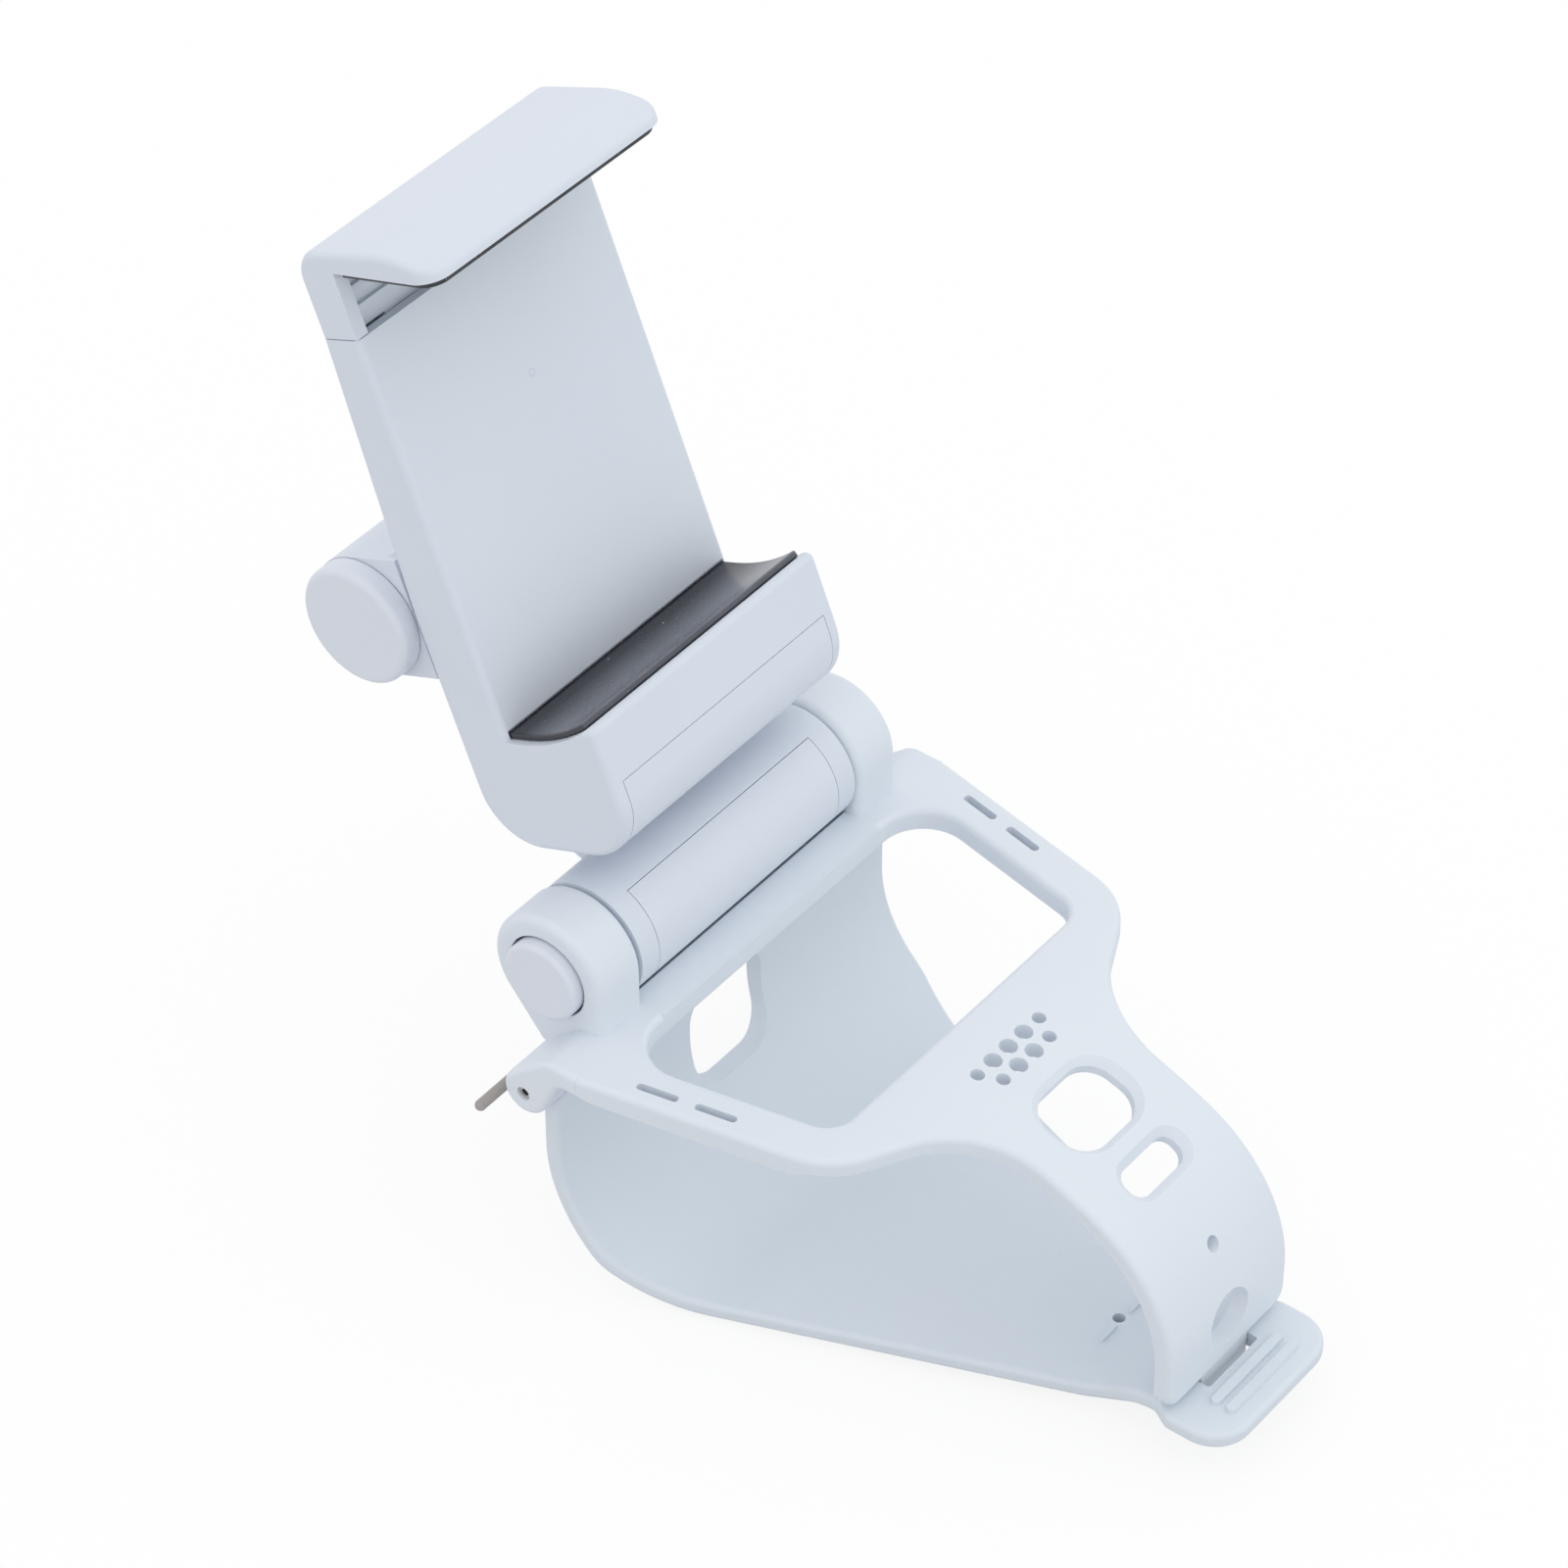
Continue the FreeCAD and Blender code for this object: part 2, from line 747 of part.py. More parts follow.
def cradle_skin(depth):
    """The cradle's side view at a depth below its inner face, from back top to lip."""
    bend = size("cradle_bend")
    centre = (size("cradle_back_y") - bend, size("cradle_floor") + bend)
    rise = size("floor_rise")
    slope = size("step_slope")
    step = size("step_radius")
    back = size("cradle_back_y") + depth
    floor_end = turn(centre, 270 - rise, bend)
    run = floor_end[0] - size("step_y")
    foot = (size("step_y"), floor_end[1] + run * math.tan(math.radians(rise)))
    lower = turn(foot, 90 - rise, step)
    upper = turn(lower, 270 - slope, 2 * step)
    lip = upper[1] + step - depth
    return [
        line((back, size("cradle_back_top")), (back, centre[1])),
        arc(centre, bend + depth, 0, -90 - rise),
        line(turn(centre, 270 - rise, bend + depth), turn(lower, 270 - rise, step + depth)),
        arc(lower, step + depth, 270 - rise, 270 - slope),
        arc(upper, step - depth, 90 - slope, 90),
        line((upper[0], lip), (size("lip_front"), lip)),
    ]


def make_cradle():
    """Cradle shell: back wall, bowl, step up to the lip, knuckles and bumper shelf."""
    shell = body("cradle_shell")
    wall = size("cradle_wall")
    back = size("cradle_back_y")
    top = size("cradle_back_top")
    skin = cradle_skin(0)
    lip = skin[-1].EndPoint.y
    front = size("lip_front")
    band = skin + cradle_skin(wall) + [
        line((back, top), (back + wall, top)), line((front, lip), (front, lip - wall))
    ]
    pad(shell, "YZ_Plane", band, "Sizes.cradle_back_half * 2 + 2", side="Symmetric")
    neck = size("cradle_neck_half")
    outline = both_sides([
        (size("cradle_back_half"), back + 6),
        (size("cradle_back_half"), 13.5, 8.0),
        (neck, size("cradle_neck_y"), 10.0),
        (neck, -57.5, 2.5),
        (size("lip_half"), -60.0, 2.0),
        (size("lip_half"), front, size("lip_corner")),
    ])
    around = box(-60, 60, front - 10, back + 20)
    pocket(shell, "XY_Plane", around + outline, side="Symmetric")
    soften(shell, back_corner, "Sizes.cradle_back_corner")
    soften(shell, shell_rim, "Sizes.shell_round")

    half = size("cable_window_width") / 2
    window = box(-half, half, size("cable_window_bottom"), size("cable_window_top"),
                 size("cable_window_corner"))
    pocket(shell, "XZ_Plane", window, "Sizes.cradle_back_y * 2")
    slot = box(-size("latch_width") / 2 - size("latch_gap"),
               size("latch_width") / 2 + size("latch_gap"),
               size("latch_slot_front"), size("latch_slot_back"), 0.4)
    pocket(shell, "XY_Plane", slot, side="Symmetric")
    pocket(shell, "XY_Plane", circle((0, size("drain_y")), size("drain_hole") / 2),
           side="Symmetric")

    reach = size("grip_rib_length") / 2
    for index in range(2):
        y = size("grip_rib_y") - index * size("grip_rib_pitch")
        width = size("grip_rib_width") / 2
        rib = box(-reach, reach, y - width, y + width, width - 0.05)
        place = Placement(Vector(0, 0, lip - 0.4), Rotation())
        pad(shell, "XY_Plane", rib, "Sizes.grip_rib_height + 0.4", place=place)
    for side in (-1, 1):
        rib = box(side * 3.3 - 1.7, side * 3.3 + 1.7, size("drain_y") - 0.85,
                  size("drain_y") - 0.35)
        place = Placement(Vector(0, 0, skin[3].StartPoint.y - 1), Rotation())
        pad(shell, "XY_Plane", rib, "1.45", place=place)

    shelf = size("shelf_top")
    ledge = box(back + wall - 1, size("bumper_y") + size("bumper_radius"),
                shelf - size("shelf_wall"), shelf)
    pad(shell, "YZ_Plane", ledge, "Sizes.cradle_back_half * 2 - 1", side="Symmetric")
    seat = circle((size("bumper_y"), size("bumper_z")), size("bumper_radius") + size("pin_fit"))
    pocket(shell, "YZ_Plane", seat, side="Symmetric")

    knuckle = size("knuckle_radius")
    web = chain([
        (back, top - 2), (back + wall, top - 2), (pin[0] + knuckle, pin[1]),
        (pin[0] - knuckle, pin[1]), (back, top - 2),
    ])
    webs = grow(shell, web, "Sizes.knuckle_inner", "Sizes.knuckle_outer")
    rings = grow(shell, circle(pin, knuckle), "Sizes.knuckle_inner", "Sizes.knuckle_outer")
    mirror(shell, webs, rings)
    swing = circle(pin, size("boss_radius") + size("hinge_gap"))
    swings = cut(shell, swing, "Sizes.knuckle_outer", "Sizes.cradle_back_half + 1")
    bores = cut(shell, circle(pin, size("pin_radius") + size("running_fit")),
                "Sizes.knuckle_inner - 1", "Sizes.knuckle_outer + 1")
    mirror(shell, swings, bores)
    return shell


def back_corner(edge):
    """True for the upper outer corners of the cradle's back wall."""
    bounds = edge.BoundBox
    side = abs(abs(bounds.XMax) - size("cradle_back_half")) < 1e-3
    return side and bounds.XLength < 1e-3 and abs(bounds.ZMin - size("cradle_back_top")) < 1e-3


def shell_rim(edge):
    """True for the rims along both faces of the cradle's outline."""
    bounds = edge.BoundBox
    across = bounds.XLength > 8 and bounds.YLength < 1e-3 and bounds.ZLength < 1e-3
    ends = [vertex.Point for vertex in edge.Vertexes]
    if across or len(ends) < 2:
        return False
    through = abs(ends[0].distanceToPoint(ends[1]) - size("cradle_wall")) < 0.02
    return not through


def make_bumper():
    """Round soft bar on the cradle's rear shelf."""
    place = Placement(Vector(0, size("bumper_y"), size("bumper_z")), Rotation())
    bar = body("rear_bumper", place)
    pad(bar, "YZ_Plane", circle(ORIGIN, size("bumper_radius")), "Sizes.bumper_half * 2",
        side="Symmetric")
    soften(bar, lambda e: e.BoundBox.XLength < 1e-3, "Sizes.bumper_radius - 0.1")
    return bar


arc_centre = (0.0, arm_reach[1])
arm_bend = arm_reach[0]


def radial_place(angle, radius):
    """A place on the neck's bend, facing away from the bend's centre."""
    point = turn(arc_centre, angle, radius)
    outwards = Vector(0, *turn(ORIGIN, angle, 1.0))
    return Placement(Vector(0, *point), Rotation(Vector(0, 0, 1), outwards))


def hexagon(centre, flats):
    """A hexagon by its width over flats."""
    corner = flats / math.sqrt(3)
    return loop(*[turn(centre, 60 * index, corner) for index in range(6)])


cover_seat = size("arm_half_depth") - size("cover_wall")
screw_angles = [size("arm_cover_start") + size("arm_cover_turn") * part
                for part in (0.1, 0.5, 0.9)]


def make_arm():
    """Arm moulding: barrel between the ears, bent neck and the upper eye."""
    arm = body("arm_housing", barrel_place)
    depth = size("arm_half_depth")
    pad(arm, "YZ_Plane", circle(ORIGIN, size("barrel_radius")), "Sizes.barrel_half * 2",
        side="Symmetric")
    neck = sector(arc_centre, arm_bend - depth, arm_bend + depth, 270, 360)
    pad(arm, "YZ_Plane", neck, "Sizes.arm_half * 2", side="Symmetric")
    pad(arm, "YZ_Plane", circle(arm_reach, size("eye_radius")), "Sizes.arm_half * 2",
        side="Symmetric")
    grow(arm, circle(ORIGIN, size("socket_radius") - 0.1),
         "-Sizes.barrel_half - Sizes.collar_length", "-Sizes.barrel_half + 1")
    cut(arm, circle(ORIGIN, size("barrel_chamber")), "-12", "8")
    socket = (size("hub_radius") + size("hub_fit")) * math.sqrt(3)
    cut(arm, hexagon(ORIGIN, socket), "-Sizes.barrel_half - 3",
        "-Sizes.barrel_half + Sizes.hub_socket")
    cut(arm, circle(ORIGIN, size("spindle_radius") + size("running_fit")),
        "Sizes.spindle_end - 0.2", "Sizes.barrel_half + 1")

    fit = size("cover_fit")
    spare = math.degrees(fit / size("barrel_radius"))
    first = size("barrel_cover_top") - spare
    last = size("barrel_cover_top") + size("barrel_cover_turn") + spare
    floor = size("barrel_radius") - size("cover_wall")
    seat = sector(ORIGIN, floor, size("barrel_radius") + 1, first, last)
    pocket(arm, "YZ_Plane", seat, "(Sizes.barrel_cover_half + Sizes.cover_fit) * 2",
           side="Symmetric")
    cut(arm, sector(ORIGIN, 4.5, floor + 0.2, first + 10, last - 10), "-12", "8")

    first = size("arm_cover_start")
    last = first + size("arm_cover_turn")
    spare = math.degrees(fit / arm_bend)
    seat = sector(arc_centre, arm_bend + cover_seat, arm_bend + depth + 1,
                  first - spare, last + spare)
    pocket(arm, "YZ_Plane", seat, "(Sizes.arm_cover_half + Sizes.cover_fit) * 2",
           side="Symmetric")
    hollow = sector(arc_centre, arm_bend - depth + 1.8, arm_bend + cover_seat + 0.2,
                    first + 1.5, last - 1.5)
    pocket(arm, "YZ_Plane", hollow, "Sizes.arm_cover_half * 2 - 2.4", side="Symmetric")
    for angle in screw_angles:
        place = radial_place(angle, arm_bend - depth + 1.5)
        pad(arm, "XY_Plane", circle(ORIGIN, size("screw_post")),
            "Sizes.arm_half_depth * 2 - Sizes.cover_wall - 1.5", place=place)
    for angle in screw_angles:
        place = radial_place(angle, arm_bend + cover_seat + 0.1)
        pocket(arm, "XY_Plane", circle(ORIGIN, size("screw_radius") + size("pin_fit")),
               "Sizes.screw_length + 0.2", place=place)
    pocket(arm, "YZ_Plane", circle(arm_reach, size("bolt_radius") + size("running_fit")),
           side="Symmetric")
    return arm


def make_arm_covers():
    """Cover along the neck's back and cover over the barrel's chamber."""
    cover = body("arm_cover", barrel_place)
    first = size("arm_cover_start")
    last = first + size("arm_cover_turn")
    bar = sector(arc_centre, arm_bend + cover_seat + 0.05, arm_bend + size("arm_half_depth"),
                 first, last)
    pad(cover, "YZ_Plane", bar, "Sizes.arm_cover_half * 2", side="Symmetric")
    for angle in screw_angles:
        place = radial_place(angle, arm_bend + size("arm_half_depth") + 0.3)
        pocket(cover, "XY_Plane", circle(ORIGIN, size("screw_radius") + size("screw_fit")),
               "Sizes.cover_wall + 1", place=place)
        pocket(cover, "XY_Plane", circle(ORIGIN, size("screw_head") + size("screw_fit")),
               "Sizes.screw_sink + 0.3", place=place)

    panel = body("barrel_cover", barrel_place)
    first = size("barrel_cover_top")
    last = first + size("barrel_cover_turn")
    inner = size("barrel_radius") - size("cover_wall") + 0.05
    pad(panel, "YZ_Plane", sector(ORIGIN, inner, size("barrel_radius"), first, last),
        "Sizes.barrel_cover_half * 2", side="Symmetric")
    return cover, panel


def cross(centre):
    """Outline of a screw's cross recess."""
    wide = size("recess_reach")
    slim = size("recess_slot") / 2
    u, v = centre
    return loop(
        (u + wide, v - slim), (u + wide, v + slim), (u + slim, v + slim), (u + slim, v + wide),
        (u - slim, v + wide), (u - slim, v + slim), (u - wide, v + slim), (u - wide, v - slim),
        (u - slim, v - slim), (u - slim, v - wide), (u + slim, v - wide), (u + slim, v - slim),
    )


def add_screw(owner, role, centre, offset="", place=None, back=False):
    """One screw, grown from its head's seat both ways."""
    pad(owner, role, circle(centre, size("screw_head")), "Sizes.screw_head_wall",
        offset=offset, place=place, back=back)
    pad(owner, role, circle(centre, size("screw_radius")), "Sizes.screw_length",
        offset=offset, place=place, back=not back)


def make_arm_screws():
    """Three screws of the arm cover."""
    screws = body("arm_screws", barrel_place)
    screws.AllowCompound = True
    for angle in screw_angles:
        seat = arm_bend + size("arm_half_depth") - size("screw_sink")
        add_screw(screws, "XY_Plane", ORIGIN, place=radial_place(angle, seat))
    for angle in screw_angles:
        top = arm_bend + size("arm_half_depth") - size("screw_sink") + size("screw_head_wall")
        pocket(screws, "XY_Plane", cross(ORIGIN), "Sizes.recess_depth",
               place=radial_place(angle, top))
    return screws


def make_lock():
    """Push button, toothed lock ring and the spring between ring and barrel."""
    button = body("push_button", barrel_place)
    grow(button, circle(ORIGIN, size("button_radius")),
         "-Sizes.ear_outer - Sizes.button_proud",
         "-Sizes.ear_outer + Sizes.shoulder_wall + Sizes.tooth_height * 2 + 0.15")
    soften(button, lambda e: e.BoundBox.XMax < -size("ear_outer"), "0.7")
    grow(button, circle(ORIGIN, size("stem_radius")), "-Sizes.ear_outer + 3",
         "-Sizes.ear_outer + 5.6")

    ring = body("lock_ring", barrel_place)
    face = "-Sizes.ear_outer + Sizes.shoulder_wall + Sizes.tooth_height * 2 + Sizes.tooth_gap"
    back = f"{face} + Sizes.ring_flange"
    grow(ring, circle(ORIGIN, size("ring_radius")), face, back)
    hub = size("hub_radius") * math.sqrt(3)
    grow(ring, hexagon(ORIGIN, hub), back, f"{back} + Sizes.hub_length")
    half_tooth = 180 / size("tooth_count")
    grow(ring, crown(ORIGIN, size("button_bore"), size("ring_radius") - 0.05, half_tooth),
         f"{face} - Sizes.tooth_height", f"{face} + 0.2")
    cut(ring, circle(ORIGIN, size("spring_bore")), f"{face} + Sizes.ring_web",
        f"{back} + Sizes.hub_length + 1")
    cut(ring, circle(ORIGIN, size("stem_radius") + size("pin_fit")), f"{face} - 1", f"{back} + 3")

    start = -size("ear_outer") + size("shoulder_wall") + size("tooth_height") * 2
    start += size("tooth_gap") + size("ring_web") + 0.1
    end = -size("barrel_half") + size("hub_socket") - 0.1
    wire = size("spring_wire")
    spring = body("button_spring", Placement(Vector(start, *barrel),
                                             Rotation(Vector(0, 1, 0), 90)))
    coil = spring.newObject("PartDesign::AdditiveHelix", "button_spring_coil")
    radius = size("spring_radius")
    coil.Profile = sketch(spring, "XZ_Plane", box(radius - wire / 2, radius + wire / 2, 0, wire),
                          "", None)
    coil.ReferenceAxis = (coil.Profile[0], ["V_Axis"])
    coil.Mode = "height-turns-angle"
    coil.Height = end - start - wire
    coil.Turns = size("spring_turns")
    coil.Angle = 0
    doc.recompute()
    return button, ring, spring


ledge_centre = (size("ledge_flat_end"), size("ledge_floor") + size("ledge_curve"))
front_round_centre = (
    size("ledge_front") + size("bottom_front_round"),
    size("clamp_bottom") + size("bottom_front_round"),
)


def ledge_profile(lift, top):
    """The room above the ledge's floor: flat at the plate, curving up to the lip."""
    floor = size("ledge_floor") + lift
    radius = size("ledge_curve") - lift
    end = 270 - size("ledge_curve_turn")
    tip = turn(ledge_centre, end, radius)
    plate = size("clamp_front") - lift * 0.3
    return [arc(ledge_centre, radius, 270, end)] + chain([
        tip, (tip[0], top), (plate, top), (plate, floor), (ledge_centre[0], floor)
    ])


def cover_band(inner, outer, spare):
    """The ledge cover's side view, from the front face round to the bottom."""
    centre = front_round_centre
    radius = size("bottom_front_round")
    top = size("ledge_cover_top") + spare
    back = size("ledge_cover_back") + spare
    ends = []
    for depth in (inner, outer):
        front = size("ledge_front") + depth
        low = size("clamp_bottom") + depth
        ends.append((front, top))
        ends.append((back, low))
    return [
        line(ends[0], (ends[0][0], centre[1])),
        arc(centre, radius - inner, 180, 270),
        line((centre[0], ends[1][1]), ends[1]),
        line(ends[2], (ends[2][0], centre[1])),
        arc(centre, radius - outer, 180, 270),
        line((centre[0], ends[3][1]), ends[3]),
        line(ends[0], ends[2]),
        line(ends[1], ends[3]),
    ]


def back_face(z):
    """Where the clamp's back face lies at a height."""
    if z < 0:
        return size("clamp_back")
    part = z / size("clamp_seam")
    return size("clamp_back") + part * (size("clamp_back_top") - size("clamp_back"))


def make_clamp():
    """Clamp moulding: plate, ledge and the hollow that guides the jaw."""
    clamp = body("clamp_housing", clamp_place)
    seam = size("clamp_seam")
    front = size("clamp_front")
    back = size("clamp_back")
    wall = size("clamp_wall")
    low = size("clamp_bottom")
    side = loop(
        (front, seam), (front, size("ledge_lip")), (size("ledge_front"), size("ledge_lip"), 0.9),
        (size("ledge_front"), low, size("bottom_front_round")),
        (back, low, size("bottom_back_round")), (back, 0), (size("clamp_back_top"), seam),
    )
    pad(clamp, "YZ_Plane", side, "Sizes.clamp_half * 2", side="Symmetric")
    pocket(clamp, "YZ_Plane", ledge_profile(0, -5), side="Symmetric")
    soften(clamp, clamp_rim, "Sizes.clamp_edge")
    floor = size("ledge_floor")
    groove = box(front - 0.5, front + size("pad_groove"), floor, floor + size("pad_wall") + 0.3)
    pocket(clamp, "YZ_Plane", groove, "Sizes.pad_half * 2 + 0.3", side="Symmetric")
    inner = front + wall
    hollow = loop(
        (inner, seam + 1), (inner, size("ledge_floor") - wall),
        (-30.4, size("ledge_floor") - wall, 2.0), (-30.4, -29.0, 5.0), (-14.5, -29.0, 4.0),
        (back - wall, size("lid_bottom")), (back + 4, size("lid_bottom")), (back + 4, seam + 1),
    )
    pocket(clamp, "YZ_Plane", hollow, "(Sizes.lid_half + Sizes.cover_fit) * 2",
           side="Symmetric")
    band = cover_band(-2.0, size("cover_wall") + 0.05, size("cover_fit"))
    pocket(clamp, "YZ_Plane", band, "(Sizes.ledge_cover_half + Sizes.cover_fit) * 2",
           side="Symmetric")
    for side_sign in (-1, 1):
        slot = box(side_sign * 12 - 1.7, side_sign * 12 + 1.7, -24.55, -23.25)
        pocket(clamp, "XZ_Plane", slot, "4", offset="-(Sizes.ledge_front)")

    posts = []
    for z in (size("screw_low"), size("screw_high")):
        posts.append(pad(clamp, "XZ_Plane", circle((size("screw_x"), z), size("screw_post")),
                         f"{back_face(z) - wall - inner - 0.05}", back=True,
                         offset="-(Sizes.clamp_front) - Sizes.clamp_wall + 0.01"))
    guide = size("guide_wall")
    play = size("rail_play")
    reach = size("rail_front") + size("rail_thick") - 0.3 - inner
    outer_rib = box(size("rail_outer") + play, size("rail_outer") + play + guide, 5, seam - 1.2)
    stop = size("rail_end") + size("rail_bar") + size("jaw_travel") + 0.5
    inner_rib = box(size("rail_inner") - play - guide, size("rail_inner") - play, stop, seam - 1.2)
    peg = circle((size("jaw_spring_x"), size("jaw_spring_low")), size("spring_peg"))
    for outline in (outer_rib, inner_rib, peg):
        posts.append(pad(clamp, "XZ_Plane", outline, f"{reach + 0.01}", back=True,
                         offset="-(Sizes.clamp_front) - Sizes.clamp_wall + 0.01"))
    mirror(clamp, *posts)
    bores = pocket(clamp, "XZ_Plane", screw_holes(size("screw_radius") + size("pin_fit")), "8",
                   offset="-(Sizes.clamp_front) - Sizes.clamp_wall / 2")
    mirror(clamp, bores)
    return clamp


def screw_holes(radius):
    """The two right-hand screw places of the clamp's back."""
    low = (size("screw_x"), size("screw_low"))
    high = (size("screw_x"), size("screw_high"))
    return circle(low, radius) + circle(high, radius)


def clamp_rim(edge):
    """True for the side rims of the clamp's plate and back."""
    bounds = edge.BoundBox
    at_side = bounds.XLength < 1e-3 and abs(abs(bounds.XMax) - size("clamp_half")) < 1e-3
    seam = bounds.ZLength < 1e-3 and abs(bounds.ZMax - size("clamp_seam")) < 1e-3
    ledge = bounds.YMin < size("clamp_front") - 1 and bounds.ZMax < size("ledge_lip") + 1
    return at_side and not seam and not (ledge and bounds.ZMin > size("ledge_floor") - 1)


def make_back_cover():
    """Back cover of the clamp with the two hinge knuckles moulded on."""
    lid = body("clamp_back_cover", clamp_place)
    seam = size("clamp_seam")
    back = size("clamp_back")
    wall = size("clamp_wall")
    low = size("lid_bottom") + size("cover_fit")
    side = loop(
        (back, low), (back, 0), (size("clamp_back_top"), seam),
        (size("clamp_back_top") - wall, seam), (back - wall, 0), (back - wall, low),
    )
    pad(lid, "YZ_Plane", side, "Sizes.lid_half * 2", side="Symmetric")
    radius = size("knuckle_plate_radius")
    flare = size("knuckle_flare")
    edge = flare + radius + 0.6
    block = loop(
        (back - 0.7, -edge), (back, -edge), (back, -radius, flare), (0, -radius), (0, radius),
        (back - 0.35, radius, flare), (back - 0.8, edge),
    )
    grown = grow(lid, block, "Sizes.knuckle_plate_inner", "Sizes.lid_half")
    wing = loop((back + 0.4, -radius), (0, -radius), (0, radius), (back + 0.4, radius))
    wings = grow(lid, wing, "Sizes.lid_half - 0.5", "Sizes.knuckle_plate_outer")
    eyes = grow(lid, circle(ORIGIN, radius), "Sizes.knuckle_plate_inner",
                "Sizes.knuckle_plate_outer")
    mirror(lid, grown, wings, eyes)
    seats = cut(lid, circle(ORIGIN, size("seat_radius")),
                "Sizes.knuckle_plate_outer - Sizes.seat_depth", "Sizes.knuckle_plate_outer + 1")
    mirror(lid, seats)
    pocket(lid, "YZ_Plane", circle(ORIGIN, size("bolt_radius") + size("pin_fit")),
           side="Symmetric")
    bores = pocket(lid, "XZ_Plane", screw_holes(size("screw_radius") + size("screw_fit")), "20",
                   offset="20")
    sinks = []
    for z in (size("screw_low"), size("screw_high")):
        seat = back_face(z) - size("screw_sink")
        head = circle((size("screw_x"), z), size("screw_head") + size("screw_fit"))
        sinks.append(pocket(lid, "XZ_Plane", head, "4", offset=f"{-seat}"))
    mirror(lid, bores, *sinks)
    return lid


def make_clamp_screws():
    """Four screws of the clamp's back cover."""
    screws = body("clamp_screws", clamp_place)
    screws.AllowCompound = True
    for z in (size("screw_low"), size("screw_high")):
        seat = back_face(z) - size("screw_sink")
        for x in (-size("screw_x"), size("screw_x")):
            add_screw(screws, "XZ_Plane", (x, z), offset=f"{-seat}", back=True)
        top = seat + size("screw_head_wall")
        recesses = cross((-size("screw_x"), z)) + cross((size("screw_x"), z))
        pocket(screws, "XZ_Plane", recesses, "Sizes.recess_depth", offset=f"{-top}", back=True)
    return screws


def make_ledge_parts():
    """Cover of the ledge's front and the soft pad on its floor."""
    cover = body("ledge_cover", clamp_place)
    pad(cover, "YZ_Plane", cover_band(0, size("cover_wall"), 0), "Sizes.ledge_cover_half * 2",
        side="Symmetric")
    for x in (-12, 12):
        tab = box(x - 1.5, x + 1.5, -24.4, -23.4)
        pad(cover, "XZ_Plane", tab, "3.4", back=True,
            offset="-(Sizes.ledge_front) - Sizes.cover_wall + 0.2")

    soft = body("ledge_pad", clamp_place)
    floor = size("ledge_floor")
    wall = size("pad_wall")
    end = 270 - size("ledge_curve_turn") + 2
    low = size("ledge_curve") - 0.05
    high = size("ledge_curve") - wall
    start = size("pad_back")
    strip = [arc(ledge_centre, low, 270, end), arc(ledge_centre, high, 270, end)] + chain([
        (ledge_centre[0], floor + 0.05), (start, floor + 0.05), (start, floor + wall),
        (ledge_centre[0], floor + wall),
    ]) + [line(turn(ledge_centre, end, low), turn(ledge_centre, end, high))]
    pad(soft, "YZ_Plane", strip, "Sizes.pad_half * 2", side="Symmetric")
    return cover, soft


def make_upper_hinge():
    """Caps, bolt, nut and washers of the clamp's hinge."""
    made = []
    for label, side in (("hinge_cap_left", -1), ("hinge_cap_right", 1)):
        turned = Rotation(Vector(0, 0, 1), 0 if side > 0 else 180)
        place = clamp_place.multiply(Placement(Vector(0, 0, 0), turned))
        cap = body(label, place)
        grow(cap, circle(ORIGIN, size("cap_radius")), "Sizes.knuckle_plate_outer + 0.15",
             "Sizes.knuckle_plate_outer + 0.15 + Sizes.cap_wall")
        soften(cap, lambda e: e.BoundBox.XMin > size("knuckle_plate_outer") + 2,
               "Sizes.cap_edge")
        plug = size("seat_radius") - size("plug_fit")
        grow(cap, circle(ORIGIN, plug) + circle(ORIGIN, plug - size("plug_wall")),
             "Sizes.knuckle_plate_outer - Sizes.plug_depth", "Sizes.knuckle_plate_outer + 0.2")
        made.append(cap)

    bolt = body("hinge_bolt", clamp_place)
    seat = "Sizes.knuckle_plate_outer - Sizes.seat_depth"
    grow(bolt, circle(ORIGIN, size("bolt_radius")), "-Sizes.knuckle_plate_outer + 1.5", seat)
    grow(bolt, circle(ORIGIN, size("bolt_head")), seat, f"{seat} + Sizes.bolt_head_length")
    cut(bolt, hexagon(ORIGIN, 3.0), f"{seat} + 1.2", f"{seat} + 4")
    made.append(bolt)

    nut = body("hinge_nut", clamp_place)
    ring = hexagon(ORIGIN, size("nut_flats")) + circle(ORIGIN, size("bolt_radius") + 0.01)
    grow(nut, ring, f"-({seat}) - Sizes.bolt_head_length", f"-({seat}) - 0.02")
    made.append(nut)

    washers = body("friction_washers", clamp_place)
    washers.AllowCompound = True
    disc = circle(ORIGIN, size("washer_radius"))
    disc += circle(ORIGIN, size("bolt_radius") + size("running_fit"))
    mirror(washers, grow(washers, disc, "Sizes.arm_half + 0.05",
                         "Sizes.arm_half + 0.05 + Sizes.washer_wall"))
    made.append(washers)
    return made


